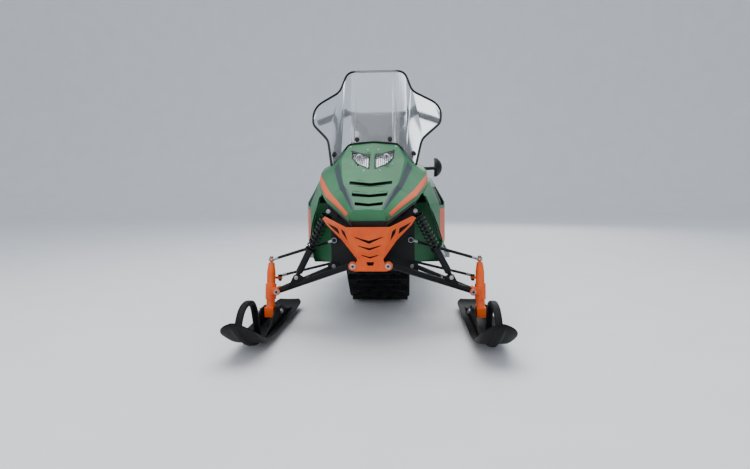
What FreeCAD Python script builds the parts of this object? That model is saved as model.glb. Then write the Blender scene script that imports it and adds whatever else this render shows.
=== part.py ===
import FreeCAD, Part
import math
import os

# A compact snowmobile with a faceted plastic hood, a folded steel bumper, arm front suspension, two
# plastic skis and one rubber track. Millimetres, +Z up, forward along -Y, the rider's left side at +X.
# The origin is on the ground under the middle of the machine's length and width.

V = FreeCAD.Vector
LATERAL = V(1, 0, 0)
REARWARD = V(0, 1, 0)
UPWARD = V(0, 0, 1)
ORIGIN = V(0, 0, 0)

# Driving sizes of the whole machine
LENGTH = 2500.0
STANCE = 1000.0
FRONT_Y = -LENGTH / 2
REAR_Y = LENGTH / 2
SLIP = 0.3
SEAM = 1.5

# Track belt, its lugs and the wheels that it runs round
TRACK_WIDTH = 340.0
BELT = 6.0
LUG_HEIGHT = 25.0
LUG_BASE = 16.0
LUG_TIP = 9.0
LUG_PITCH = 64.0
LUG_SINK = 1.0
SPROCKET_Y = -330.0
SPROCKET_Z = 360.0
SPROCKET_R = 80.0
IDLER_Y = REAR_Y - 380
IDLER_R = 89.0
APPROACH_DEG = 40.0
APPROACH_R = 250.0
GROUND_RUN_Z = LUG_HEIGHT + BELT
IDLER_Z = GROUND_RUN_Z + IDLER_R

# Slide rails and the suspension inside the track
RAIL_X = 105.0
RAIL_THICK = 12.0
RAIL_HEIGHT = 62.0
SLIDER = 14.0
SLIDER_WIDTH = 30.0
WHEEL_WIDTH = 24.0
AXLE_R = 12.0

# Tunnel over the track, with the boards that carry the feet
TUNNEL_INSIDE = 376.0
SHEET = 3.0
TUNNEL_FRONT_Y = -465.0
TUNNEL_REAR_Y = REAR_Y - 160
TUNNEL_TOP_FRONT = 488.0
TUNNEL_TOP_REAR = 452.0
TUNNEL_SKIRT_Z = 272.0
TUNNEL_TAIL_Z = 330.0
TUNNEL_HALF = TUNNEL_INSIDE / 2 + SHEET
BOARD_OUT_X = 392.0
BOARD_FRONT_Y = -240.0
BOARD_REAR_Y = TUNNEL_REAR_Y - 130
BOARD_Z = 286.0
BOARD_LIP = 26.0

# Plastic skin
SKIN = 4.0
CONSOLE_FRONT_Y = -300.0
CONSOLE_REAR_Y = -62.0

# Front frame
FRAME_HALF = 190.0
FRAME_FRONT_Y = -748.0
FRAME_BOTTOM_Z = 300.0
FRAME_TOP_Z = 578.0
FRAME_SHEET = 4.0
KEEL_HALF = 58.0
KEEL_FRONT_Y = -910.0
KEEL_REAR_Y = -560.0
KEEL_LOW_Z = 326.0
KEEL_HIGH_Z = 374.0

# Front suspension on each side; x is measured for the left side
PIVOT_X = 75.0
PIVOT_Z = 349.0
PIVOT_BUSH_R = 15.0
FRONT_BUSH_Y = -892.0
REAR_BUSH_Y = -612.0
BUSH_LENGTH = 36.0
ARM_R = 14.0
REAR_ARM_R = 11.0
SHOCK_TOP_X = 193.0
SHOCK_TOP_Y = -786.0
SHOCK_TOP_Z = 575.0
SHOCK_LOW_X = STANCE / 2 - 143
SHOCK_LOW_Z = 266.0
SHOCK_EYE_R = 13.0
SHOCK_EYE = 24.0
SPRING_R = 20.4
SPRING_WIRE_R = 3.6
SPRING_TURNS = 9
ROD_IN_X = 173.0
ROD_IN_Z = 442.0
ROD_R = 7.0
ROD_NECK_R = 4.5
ROD_NECK_IN = 34.0
ROD_NECK_OUT = 48.0
ROD_EYE_R = 13.0
ROD_EYE = 14.0

# Spindles and the knuckles that hold them
CASTER_DEG = 12.0
SKI_PIVOT_Y = -665.0
SKI_PIVOT_Z = 92.0
KNUCKLE_LOW_Z = 156.0
KNUCKLE_HIGH_Z = 209.0
KNUCKLE_R = 26.0
SPINDLE_R = 20.5
SPINDLE_TOP_R = 14.0
SPINDLE_SHOULDER_Z = 275.0
SPINDLE_TOP_Z = 318.0
EYE_X = STANCE / 2 - 37
EYE_Z = 188.0
EYE_R = 16.0
EYE_PLATE = 8.0
STEER_ARM = 90.0
STEER_ARM_IN = 24.0
STEER_ARM_Z = 248.0

# Skis
SKI_REAR_Y = -215.0
SKI_PLATE = 11.0
SKI_BASE_Z = 24.0
KEEL_WIDTH = 34.0
RIB_X = 36.0
RIB_THICK = 9.0
RUNNER_R = 7.0
SADDLE_HALF = 21.0

# Steering column and handlebar
COLUMN_BASE = V(0, -560, 400)
COLUMN_HEAD = V(0, -95, 1010)
COLUMN_R = 12.5
COLUMN_TAIL = 24.0
CUP_R = 18.0
CUP_TOP = 6.0
CUP_DEPTH = 30.0
PITMAN = 70.0
PITMAN_IN = 16.0
BAR_R = 11.0
GRIP_R = 17.0
GRIP_IN_X = 212.0
GRIP_OUT_X = 330.0

# Seat and rear
SEAT_FRONT_Y = 150.0
SEAT_REAR_Y = TUNNEL_REAR_Y - 200
TANK_REAR_Y = SEAT_FRONT_Y - SEAM


def unit(vector):
    """The vector at length 1, leaving the one given as it was."""
    return V(vector).normalize()


def bar(start, end, radius):
    """A round bar from one point to another."""
    return Part.makeCylinder(radius, (end - start).Length, start, end - start)


def block(x, y, z):
    """A box from three pairs of low and high coordinates."""
    return Part.makeBox(x[1] - x[0], y[1] - y[0], z[1] - z[0], V(x[0], y[0], z[0]))


def fused(shapes):
    """One shape from several, with the seams between coplanar faces taken out."""
    return shapes[0].multiFuse(shapes[1:]).removeSplitter()


def both_sides(shape):
    """The left piece and its mirrored twin on the right."""
    return Part.makeCompound([shape, shape.mirror(ORIGIN, LATERAL)])


def on_right(shape):
    """The right twin of a left piece."""
    return shape.mirror(ORIGIN, LATERAL)


def polygon(points):
    """A closed wire of straight runs."""
    return Part.makePolygon(points + [points[0]])


def plate(points, thickness):
    """A flat plate: the closed outline of the points, as thick as the vector."""
    return Part.Face(polygon(points)).extrude(thickness)


def corner_arc(before, at, after, radius):
    """Start, middle and end of the arc that rounds the corner at a point."""
    back = unit(before - at)
    ahead = unit(after - at)
    half = back.getAngle(ahead) / 2
    reach = radius / math.tan(half)
    inward = unit(back + ahead)
    centre = at + inward * (radius / math.sin(half))
    return at + back * reach, centre - inward * radius, at + ahead * reach


def rounded_wire(corners, closed=True):
    """A wire of straight runs and arcs. Each corner is a point and the radius that rounds it."""
    count = len(corners)
    stops = []
    for i, (at, radius) in enumerate(corners):
        end_point = not closed and i in (0, count - 1)
        if radius == 0 or end_point:
            stops.append((at, None, at))
        else:
            before = corners[i - 1][0]
            after = corners[(i + 1) % count][0]
            stops.append(corner_arc(before, at, after, radius))
    edges = []
    for i, (start, middle, end) in enumerate(stops):
        if middle is not None:
            edges.append(Part.Arc(start, middle, end).toShape())
        last = not closed and i == count - 1
        following = stops[(i + 1) % count][0]
        if not last and (following - end).Length > 0.01:
            edges.append(Part.LineSegment(end, following).toShape())
    return Part.Wire(edges)


def rounded_plate(corners, thickness):
    """A flat plate whose corners are rounded."""
    return Part.Face(rounded_wire(corners)).extrude(thickness)


def bent_bar(points, bend, radius):
    """A round bar along straight runs joined by bends."""
    path = rounded_wire([(p, bend) for p in points], closed=False)
    ring = Part.Wire(Part.makeCircle(radius, points[0], points[1] - points[0]))
    return path.makePipeShell([ring], True, False)


def loft(sections):
    """A solid with flat or ruled sides through closed sections of as many points each."""
    return Part.makeLoft([polygon(s) for s in sections], True, True)


def inset_line(line, depth):
    """An open line of (x, z) points moved inwards, to the right of its run, by a depth."""
    normals = []
    for (x0, z0), (x1, z1) in zip(line, line[1:]):
        run = math.hypot(x1 - x0, z1 - z0)
        normals.append(((z1 - z0) / run, -(x1 - x0) / run))
    moved = []
    for i, (x, z) in enumerate(line):
        ax, az = normals[max(i - 1, 0)]
        bx, bz = normals[min(i, len(normals) - 1)]
        scale = depth / (1 + ax * bx + az * bz)
        moved.append((x + (ax + bx) * scale, z + (az + bz) * scale))
    return moved


def at_y(line, y):
    """The (x, z) points of a line as points in the cross plane at y."""
    return [V(x, y, z) for x, z in line]


def between(table, y):
    """A row of a table of sections at any y, its other columns between those of its neighbours."""
    for low, high in zip(table, table[1:]):
        if low[0] <= y <= high[0]:
            share = (y - low[0]) / (high[0] - low[0])
            return [a + (b - a) * share for a, b in zip(low, high)]
    return list(table[0] if y < table[0][0] else table[-1])


# Hood

# y, z of the middle, then x and z of the ridge, the groove, the shoulder and the lower lip
HOOD = [
    (-1042, 597, 61, 594, 66, 588, 73, 568, 77, 545),
    (-860, 700, 115, 692, 131, 671, 193, 641, 198, 627),
    (-760, 757, 133, 742, 155, 716, 223, 676, 228, 657),
    (-660, 846, 146, 806, 177, 762, 247, 716, 253, 690),
    (-610, 889, 112, 879, 188, 786, 251, 742, 255, 706),
    (-500, 872, 120, 862, 194, 800, 252, 768, 255, 728),
    (CONSOLE_FRONT_Y, 835, 115, 826, 185, 786, 238, 762, 242, 720),
]
VENT_SLOTS = [(-872, 92, 12), (-930, 74, 11), (-984, 57, 10)]  # y, half width, depth along y
VENT_SWEEP = 20.0
LAMP_CORNERS = [(10, 826), (101, 850), (97, 812), (66, 780), (11, 758)]
LAMP_GAP = 1.0
LAMP_DEPTH = 46.0
LAMP_SET_BACK = 2.0
LAMP_CUT_Y = (-900, -400)
SLOT_CUT_Z = 900.0
SKIN_DROP = 60.0
PROJECTOR_X = 62.0
PROJECTOR_Z = 815.0
PROJECTOR_RINGS = [(16.0, 11.5, 9.0), (8.5, 0.0, 5.0)]  # outer radius, inner radius, depth
FLUTES = [(24, 3), (33, 3), (82, 3), (90, 3)]  # x and width of each upright flute beside the projector
FLUTE_DEPTH = 5.0


def half_line(row):
    """The outer line of one side of the hood's section, from the middle to the lip."""
    _, z_mid, x1, z1, x2, z2, x3, z3, x4, z4 = row
    return [(0, z_mid), (x1, z1), (x2, z2), (x3, z3), (x4, z4)]


def full_line(row):
    """The section's outer line from the right lip over the top to the left lip."""
    half = half_line(row)
    return [(-x, z) for x, z in reversed(half[1:])] + half


def skin_solid(table, grow=0.0):
    """A skin's outer form as one solid, larger all round by grow."""
    sections = []
    for row in table:
        sections.append(at_y(inset_line(full_line(row), -grow), row[0]))
    return loft(sections)


def skin_shell(table, depth, front_wall):
    """A skin of one thickness that is open below and at the rear."""
    outer = loft([at_y(full_line(row), row[0]) for row in table])
    inner_sections = []
    for row in table:
        line = inset_line(full_line(row), depth)
        low_z = row[-1] - SKIN_DROP
        drop = [(line[-1][0], low_z), (line[0][0], low_z)]
        y = row[0]
        if row is table[0]:
            y += depth if front_wall else -SEAM
        if row is table[-1]:
            y += SEAM
        inner_sections.append(at_y(line + drop, y))
    return outer.cut(loft(inner_sections))


def chevron(y, half_width, depth, sweep):
    """A V-shaped slot seen from above, cut straight down, its point to the front."""
    points = [
        V(-half_width, y, 0),
        V(0, y - sweep, 0),
        V(half_width, y, 0),
        V(half_width, y + depth, 0),
        V(0, y - sweep + depth, 0),
        V(-half_width, y + depth, 0),
    ]
    return plate(points, V(0, 0, SLOT_CUT_Z))


def lamp_prism(gap):
    """The left lamp's outline, smaller all round by gap, as a bar along y."""
    near_y, far_y = LAMP_CUT_Y
    outline = Part.Face(polygon([V(x, near_y, z) for x, z in LAMP_CORNERS]))
    if gap:
        outline = outline.makeOffset2D(-gap)
    return outline.extrude(V(0, far_y - near_y, 0))


def make_hood():
    """The hood: one moulded skin with three slots and two lamp openings."""
    skin = skin_shell(HOOD, SKIN, front_wall=True)
    slots = [chevron(y, half, depth, VENT_SWEEP) for y, half, depth in VENT_SLOTS]
    lamps = both_sides(lamp_prism(0))
    return skin.cut(Part.makeCompound(slots)).cut(lamps)


def behind_hood(depth):
    """The hood's outer form, moved back by a depth."""
    form = skin_solid(HOOD)
    form.translate(V(0, depth, 0))
    return form


def make_headlamps():
    """Two lamp units set just below the hood's face, each with a round projector and upright flutes."""
    lamp = lamp_prism(LAMP_GAP).common(behind_hood(LAMP_SET_BACK))
    lamp = lamp.cut(behind_hood(LAMP_SET_BACK + LAMP_DEPTH))
    near_y, far_y = LAMP_CUT_Y
    cuts = []
    for outer, inner, depth in PROJECTOR_RINGS:
        start = V(PROJECTOR_X, near_y, PROJECTOR_Z)
        end = V(PROJECTOR_X, far_y, PROJECTOR_Z)
        ring = bar(start, end, outer)
        if inner:
            ring = ring.cut(bar(start, end, inner))
        cuts.append(ring.cut(behind_hood(LAMP_SET_BACK + depth)))
    low_z = min(z for _, z in LAMP_CORNERS)
    high_z = max(z for _, z in LAMP_CORNERS)
    fluted = lamp_prism(LAMP_GAP + FLUTE_DEPTH).cut(behind_hood(LAMP_SET_BACK + FLUTE_DEPTH))
    for x, width in FLUTES:
        cuts.append(block((x - width / 2, x + width / 2), LAMP_CUT_Y, (low_z, high_z)).common(fluted))
    return both_sides(lamp.cut(Part.makeCompound(cuts)))


TRIM_IN = 6.0
TRIM_UP = 4.0
TRIM_DOWN = 24.0
TRIM_SIDE_GAP = 2.5
TRIM_Y = (-1042, -860, -752)


def trim_section(half, y, low, high):
    """A section of the lip: as wide as 2 half at its top and drawn in at its foot."""
    foot = half - TRIM_IN
    return [V(-half, y, high), V(half, y, high), V(foot, y, low), V(-foot, y, low)]


def make_nose_trim():
    """The black lip under the hood's edge, from the nose back to the frame's flanges."""
    rows = [between(HOOD, y) for y in TRIM_Y]
    outer = []
    inner = []
    for row in rows:
        y = row[0]
        half = row[8] - SKIN - TRIM_SIDE_GAP
        high = row[9] + TRIM_UP
        low = row[9] - TRIM_DOWN
        if row is rows[0]:
            y += SKIN + 1
        outer.append(trim_section(half, y, low, high))
        half -= SKIN
        if row is rows[0]:
            y += SKIN
        if row is rows[-1]:
            y += SEAM
        inner.append(trim_section(half, y, low - SKIN, high + SKIN))
    return loft(outer).cut(loft(inner))


# y, z of the middle, then x and z of the ridge, the groove, the shoulder and the lower lip
CONSOLE = [
    (CONSOLE_FRONT_Y + SEAM, 835, 115, 826, 185, 786, 236, 762, 238, 690),
    (-205, 812, 100, 803, 150, 776, 180, 742, 187, 470),
    (CONSOLE_REAR_Y, 726, 86, 716, 112, 700, 132, 676, 150, 470),
]
COLUMN_HOLE_R = 27.0


def make_console():
    """The dash cover from the hood's rear edge down to the tank, with a hole for the column."""
    skin = skin_shell(CONSOLE, SKIN, front_wall=False)
    return skin.cut(bar(COLUMN_BASE, COLUMN_HEAD, COLUMN_HOLE_R)).cut(tunnel_form())


# Side panels

# y, how far the upper crease stands out from the hood's lip, then x and z of the upper and lower
# bulge lines and of the bottom edge
SIDE = [
    (-752, 3, 240, 600, 240, 400, 222, 300),
    (-600, 10, 298, 600, 300, 400, 276, 300),
    (-450, 26, 345, 598, 346, 400, 318, 300),
    (CONSOLE_FRONT_Y, 20, 338, 600, 340, 400, 312, 300),
    (-240, 14, 318, 600, 324, 400, 300, 300),
]
SIDE_GAP = 5.0
SIDE_CUT = [(-760, 640), (-742, 640), (-505, 410), (-462, 290), (-760, 290)]
WALL_IN_Y = -487.0
WALL_OUT_Y = -420.0
WALL_TOP_Z = 596.0
WALL_FAR_X = 700.0
WALL_SWEEP = 0.5
PANEL_CUT_X = (150, 450)
VENT_Y = (-520, -440)
VENT_Z = (584, 672)
VENT_LEAN = 16.0


def side_line(row):
    """The outer line of a side panel's section, from under the hood's lip to the bottom edge."""
    y, out, up_x, up_z, low_x, low_z, bottom_x, bottom_z = row
    lip_x, lip_z = between(HOOD, y)[8:10]
    return [
        (lip_x - 3 * SKIN, lip_z - SIDE_GAP),
        (lip_x + out, lip_z - SIDE_GAP - 2),
        (up_x, up_z),
        (low_x, low_z),
        (bottom_x, bottom_z),
    ]


def side_skin():
    """The left panel's bulged skin, with its slanting front edge and its intake."""
    sections = []
    for row in SIDE:
        line = side_line(row)
        inner = inset_line(line, SKIN)
        sections.append(at_y(line + inner[::-1], row[0]))
    skin = loft(sections)
    near_x, far_x = PANEL_CUT_X
    front_cut = plate([V(near_x, y, z) for y, z in SIDE_CUT], V(far_x - near_x, 0, 0))
    low_y, high_y = VENT_Y
    low_z, high_z = VENT_Z
    vent = [
        V(near_x, low_y, low_z),
        V(near_x, high_y - VENT_LEAN, low_z),
        V(near_x, high_y, high_z),
        V(near_x, low_y + VENT_LEAN, high_z),
    ]
    return skin.cut(front_cut).cut(plate(vent, V(far_x - near_x, 0, 0)))


def side_filled():
    """The left panel's outer form, filled in to the frame."""
    in_x = FRAME_HALF + SEAM
    sections = []
    for row in SIDE:
        line = side_line(row)
        sections.append(at_y([(in_x, line[0][1])] + line + [(in_x, line[-1][1])], row[0]))
    return loft(sections)


def make_side_panels():
    """Both side panels, each a skin with its walls in front of the foot and behind the ski arms."""
    in_x = FRAME_HALF + SEAM
    rear_y = SIDE[-1][0]
    low_z = SIDE[0][-1]
    far_y = WALL_OUT_Y + (WALL_FAR_X - in_x) * WALL_SWEEP
    rear_wall = block((in_x, WALL_FAR_X), (rear_y - SKIN, rear_y), (low_z, WALL_FAR_X))
    front_points = [
        V(in_x, WALL_IN_Y, low_z),
        V(WALL_FAR_X, far_y, low_z),
        V(WALL_FAR_X, far_y + SKIN, low_z),
        V(in_x, WALL_IN_Y + SKIN, low_z),
    ]
    front_wall = plate(front_points, V(0, 0, WALL_TOP_Z - low_z))
    walls = rear_wall.fuse(front_wall).common(side_filled())
    return both_sides(fused([side_skin(), walls]).cut(skin_solid(CONSOLE, 2 * SEAM)))


# Windshield

WS_LEAN_DEG = 37.0
WS_FOOT = V(0, -612, 884)
WS_THICK = 4.0
WS_FLAT = 62.0
WS_BEND_R = 150.0
WS_WRAP_DEG = 40.0
WS_WING = 300.0
WS_GAP = 3.0
# x, z and corner radius of the outline of the left half, seen from the front
WS_OUTLINE = [
    (150, 1272, 42),
    (188, 1166, 55),
    (348, 1104, 70),
    (338, 1004, 55),
    (236, 908, 80),
    (199, 760, 0),
]
WS_TRIM = 7.0
WS_TRIM_SIDE = 2.5
WS_CUT_Y = (-1000, 200)
WS_RUN = (-200, 560)
GASKET_LOW = 0.4
GASKET_HIGH = 11.0


def ws_point(x, normal, along):
    """A point of the windshield's own frame: x, out of its flat middle, and up along its lean."""
    lean = math.radians(WS_LEAN_DEG)
    up = V(0, math.sin(lean), math.cos(lean))
    out = V(0, -math.cos(lean), math.sin(lean))
    return WS_FOOT + LATERAL * x + out * normal + up * along


def ws_bent_sheet(outside, inside):
    """The bent sheet before it is cut to shape; its faces stand off the middle line."""
    wrap = math.radians(WS_WRAP_DEG)
    lines = []
    for stand in (outside, -inside):
        radius = WS_BEND_R + stand
        edge_x = WS_FLAT + radius * math.sin(wrap)
        edge_n = stand - radius * (1 - math.cos(wrap))
        middle_x = WS_FLAT + radius * math.sin(wrap / 2)
        middle_n = stand - radius * (1 - math.cos(wrap / 2))
        wing_x = edge_x + WS_WING * math.cos(wrap)
        wing_n = edge_n - WS_WING * math.sin(wrap)
        lines.append([(WS_FLAT, stand), (middle_x, middle_n), (edge_x, edge_n), (wing_x, wing_n)])
    edges = []
    foot, head = WS_RUN
    for line in lines:
        for side in (1, -1):
            flat, middle, edge, wing = [ws_point(side * x, n, foot) for x, n in line]
            edges.append(Part.Arc(flat, middle, edge).toShape())
            edges.append(Part.LineSegment(edge, wing).toShape())
        left = ws_point(WS_FLAT, line[0][1], foot)
        right = ws_point(-WS_FLAT, line[0][1], foot)
        edges.append(Part.LineSegment(left, right).toShape())
    for side in (1, -1):
        outer, inner = [ws_point(side * line[-1][0], line[-1][1], foot) for line in lines]
        edges.append(Part.LineSegment(outer, inner).toShape())
    section = Part.Face(Part.Wire(Part.__sortEdges__(edges)))
    return section.extrude(ws_point(0, 0, head) - ws_point(0, 0, foot))


def ws_outline(grow):
    """The windshield's outline as a bar along y, larger by grow."""
    near_y, far_y = WS_CUT_Y
    half = [(V(x, near_y, z), r) for x, z, r in WS_OUTLINE]
    other = [(V(-x, near_y, z), r) for x, z, r in reversed(WS_OUTLINE)]
    face = Part.Face(rounded_wire(half + other))
    if grow:
        face = face.makeOffset2D(grow)
    return face.extrude(V(0, far_y - near_y, 0))


def make_windshield():
    """The clear bent sheet, its foot cut to the hood."""
    sheet = ws_bent_sheet(WS_THICK / 2, WS_THICK / 2).common(ws_outline(0))
    return sheet.cut(skin_solid(HOOD, WS_GAP))


def make_windshield_trim():
    """The rubber edging on the windshield's rim, its gasket on the hood and its four posts."""
    thick = ws_bent_sheet(WS_THICK / 2 + WS_TRIM_SIDE, WS_THICK / 2 + WS_TRIM_SIDE)
    grip = ws_bent_sheet(WS_THICK / 2, WS_THICK / 2).common(ws_outline(0))
    ring = thick.common(ws_outline(WS_TRIM_SIDE)).cut(ws_outline(WS_TRIM_SIDE - WS_TRIM))
    ring = ring.cut(skin_solid(HOOD, WS_GAP))
    gasket = thick.common(ws_outline(WS_TRIM_SIDE)).common(skin_solid(HOOD, GASKET_HIGH))
    rubber = ring.fuse(gasket.cut(skin_solid(HOOD, GASKET_LOW))).cut(grip.cut(skin_solid(HOOD, WS_GAP)))
    posts = windshield_posts()
    return Part.makeCompound(list(rubber.Solids) + list(posts.cut(rubber).Solids))


# x, height up the sheet, whether it is on the wing, radius, head radius
WS_MOUNTS = [(78, 22, False, 8, 11), (188, -18, True, 9, 15)]
WS_MOUNT_HEAD = 6.0
WS_MOUNT_DEPTH = 40.0


def ws_face(x, along, on_wing):
    """The point of the sheet's middle at x and a height up the sheet, and the normal there."""
    wrap = math.radians(WS_WRAP_DEG)
    out = ws_point(0, 1, 0) - ws_point(0, 0, 0)
    if not on_wing:
        return ws_point(x, 0, along), out
    edge_x = WS_FLAT + WS_BEND_R * math.sin(wrap)
    edge_n = -WS_BEND_R * (1 - math.cos(wrap))
    run = (x - edge_x) / math.cos(wrap)
    point = ws_point(x, edge_n - run * math.sin(wrap), along)
    return point, out * math.cos(wrap) + LATERAL * math.sin(wrap)


def windshield_posts():
    """Four posts from the hood to the windshield, each with its head outside the sheet."""
    posts = []
    for x, along, on_wing, radius, head_radius in WS_MOUNTS:
        point, normal = ws_face(x, along, on_wing)
        head_foot = point + normal * (WS_THICK / 2)
        post = bar(point - normal * WS_MOUNT_DEPTH, head_foot + normal, radius)
        head = bar(head_foot, head_foot + normal * WS_MOUNT_HEAD, head_radius)
        posts.append(post.fuse(head))
    sheet = ws_bent_sheet(WS_THICK / 2, WS_THICK / 2)
    return both_sides(Part.makeCompound(posts)).cut(skin_solid(HOOD)).cut(sheet)


# Mirror, on the left side only

MIRROR_AT = V(291, -486, 769)
MIRROR_R = 46.0
MIRROR_RIM = 12.0
MIRROR_DOME = 27.0
MIRROR_STEM = [V(200, -515, 762), V(298, -531, 765)]
MIRROR_STEM_R = 8.0


def make_mirror():
    """The mirror's round housing on its short stem, folded back along the machine."""
    rim_end = MIRROR_AT + V(MIRROR_RIM, 0, 0)
    ball_r = (MIRROR_R**2 + MIRROR_DOME**2) / (2 * MIRROR_DOME)
    ball = Part.makeSphere(ball_r, rim_end + V(MIRROR_DOME - ball_r, 0, 0))
    dome = ball.common(bar(rim_end, rim_end + V(MIRROR_DOME * 2, 0, 0), MIRROR_R))
    stem = bar(MIRROR_STEM[0], MIRROR_STEM[1], MIRROR_STEM_R).cut(skin_solid(HOOD))
    return fused([bar(MIRROR_AT, rim_end, MIRROR_R), dome, stem])


# Front frame

EYE_HOLE_GAP = 10.0
TIE_OPENING_Y = (-590, -490)
TIE_OPENING_Z = (280, 384)
TOWER_X = (150, 178)
TOWER_Y = (-804, -744)
TOWER_Z = (545, 602)
TAB = 4.0
ROD_BOSS_R = 11.0
STAY = [V(60, FRAME_FRONT_Y + 1, 500), V(60, -1040, 452)]
STAY_R = 10.0
FLOOR_LAP = 20.0
REAR_PLATE_Z = 420.0
PIVOT_EAR_R = 16.0
SHOCK_EAR_R = 14.0
TIE_OPENING_IN = 40.0
TIE_OPENING_OUT = 40.0
ROD_PATH_GAP = 2.0
BRACKET_X = (160, 206)
BRACKET_Z = (300, 338)
BRACKET_DEPTH = 16.0


def kingpin(z):
    """The point of the left kingpin's axis at a height."""
    return V(STANCE / 2, SKI_PIVOT_Y + (z - SKI_PIVOT_Z) * math.tan(math.radians(CASTER_DEG)), z)


KINGPIN_UP = V(0, math.sin(math.radians(CASTER_DEG)), math.cos(math.radians(CASTER_DEG)))
EYE_Y = kingpin(EYE_Z).y
ARM_EYE_HALF = 15.0
ARM_RING = 10.0
FRONT_EYE = V(EYE_X, EYE_Y - ARM_EYE_HALF - ARM_RING / 2, EYE_Z)
REAR_EYE = V(EYE_X, EYE_Y + ARM_EYE_HALF + ARM_RING / 2, EYE_Z)
FRONT_PIVOT = V(PIVOT_X, FRONT_BUSH_Y, PIVOT_Z)
REAR_PIVOT = V(PIVOT_X, REAR_BUSH_Y, PIVOT_Z)
SHOCK_LOW_Y = FRONT_PIVOT.y + (FRONT_EYE.y - FRONT_PIVOT.y) * (SHOCK_LOW_X - PIVOT_X) / (EYE_X - PIVOT_X)
SHOCK_TOP = V(SHOCK_TOP_X, SHOCK_TOP_Y, SHOCK_TOP_Z)
SHOCK_LOW = V(SHOCK_LOW_X, SHOCK_LOW_Y, SHOCK_LOW_Z)
ROD_IN_Y = -768.0
ROD_IN = V(ROD_IN_X, ROD_IN_Y, ROD_IN_Z)
STUD_R = 7.0
STUD_MID_Z = 331.0
RUN_FIT = 0.05


def arm_z(x):
    """The height of the front arm tube's middle at x."""
    return PIVOT_Z + (EYE_Z - PIVOT_Z) * (x - PIVOT_X) / (EYE_X - PIVOT_X)


def ear(root_x, x, y, z, radius):
    """A flat ear of sheet metal with a rounded end, from a wall at root_x out to x."""
    root = block((root_x, x), (y, y + TAB), (z - radius, z + radius))
    return root.fuse(bar(V(x, y, z), V(x, y + TAB, z), radius))


def make_front_frame():
    """The front frame: a folded box with a keel, brackets for arms and shocks, and bumper stays."""
    half = FRAME_HALF
    sheet = FRAME_SHEET
    y_range = (FRAME_FRONT_Y, TUNNEL_FRONT_Y)
    z_range = (FRAME_BOTTOM_Z, FRAME_TOP_Z)
    front = block((-half, half), (FRAME_FRONT_Y, FRAME_FRONT_Y + sheet), z_range)
    sides = both_sides(block((half - sheet, half), y_range, z_range))
    keel = block((-KEEL_HALF, KEEL_HALF), (KEEL_FRONT_Y, KEEL_REAR_Y), (KEEL_LOW_Z, KEEL_HIGH_Z))
    hollow = block(
        (-KEEL_HALF + sheet, KEEL_HALF - sheet),
        (KEEL_FRONT_Y + sheet, KEEL_REAR_Y - sheet),
        (KEEL_LOW_Z + sheet, KEEL_HIGH_Z - sheet),
    )
    keel = keel.cut(hollow)
    across = (-half + sheet, half - sheet)
    floor_y = KEEL_REAR_Y - FLOOR_LAP
    floor = block(across, (floor_y, TUNNEL_FRONT_Y), (FRAME_BOTTOM_Z, FRAME_BOTTOM_Z + sheet))
    link = block((-KEEL_HALF, KEEL_HALF), (floor_y, KEEL_REAR_Y), (FRAME_BOTTOM_Z, KEEL_LOW_Z))
    rear = block(across, (TUNNEL_FRONT_Y - sheet, TUNNEL_FRONT_Y), (FRAME_BOTTOM_Z, REAR_PLATE_Z))
    pieces = [front, keel, floor, link, rear] + list(sides.Solids)
    for bush_y in (FRONT_BUSH_Y, REAR_BUSH_Y):
        for end in (-BUSH_LENGTH / 2 - TAB, BUSH_LENGTH / 2):
            y = bush_y + end
            pieces += list(both_sides(ear(KEEL_HALF - SEAM, PIVOT_X, y, PIVOT_Z, PIVOT_EAR_R)).Solids)
    tower = block(TOWER_X, TOWER_Y, TOWER_Z)
    pieces += list(both_sides(tower).Solids)
    for y in (SHOCK_TOP_Y - SHOCK_EYE / 2 - TAB, SHOCK_TOP_Y + SHOCK_EYE / 2):
        pieces += list(both_sides(ear(TOWER_X[1] - SEAM, SHOCK_TOP_X, y, SHOCK_TOP_Z, SHOCK_EAR_R)).Solids)
    boss = bar(ROD_IN + V(0, ROD_EYE / 2, 0), V(ROD_IN_X, FRAME_FRONT_Y + 1, ROD_IN_Z), ROD_BOSS_R)
    pieces += list(both_sides(boss).Solids)
    bracket = block(BRACKET_X, (FRAME_FRONT_Y - BRACKET_DEPTH, FRAME_FRONT_Y + 1), BRACKET_Z)
    pieces += list(both_sides(bracket).Solids)
    pieces += list(both_sides(bar(STAY[0], STAY[1], STAY_R)).Solids)
    frame = fused(pieces)
    path = bar(REAR_PIVOT, REAR_EYE, REAR_ARM_R + EYE_HOLE_GAP)
    outside = (KEEL_HALF + TIE_OPENING_IN, half + TIE_OPENING_OUT)
    opening = block(outside, TIE_OPENING_Y, TIE_OPENING_Z)
    path = path.common(block(outside, (FRONT_Y, REAR_Y), (0, FRAME_TOP_Z)))
    column = bar(COLUMN_BASE, COLUMN_HEAD, COLUMN_R + EYE_HOLE_GAP)
    frame = frame.cut(both_sides(opening)).cut(both_sides(path)).cut(column)
    for start, end, radius in (
        (FRONT_PIVOT, FRONT_EYE, ARM_R + SEAM),
        (REAR_PIVOT, REAR_EYE, REAR_ARM_R + SEAM),
        (ROD_IN, kingpin(STUD_MID_Z), ROD_R + ROD_PATH_GAP),
    ):
        frame = frame.cut(both_sides(bar(start, end, radius)))
    frame = frame.cut(bumper_front_space())
    column_up = unit(COLUMN_HEAD - COLUMN_BASE)
    cup_top = COLUMN_BASE - column_up * CUP_TOP
    cup = bar(cup_top - column_up * CUP_DEPTH, cup_top, CUP_R)
    socket = bar(COLUMN_BASE - column_up * (COLUMN_TAIL + SLIP), COLUMN_BASE, COLUMN_R + RUN_FIT)
    return fused([frame, cup]).cut(socket)


# Bumper

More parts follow.
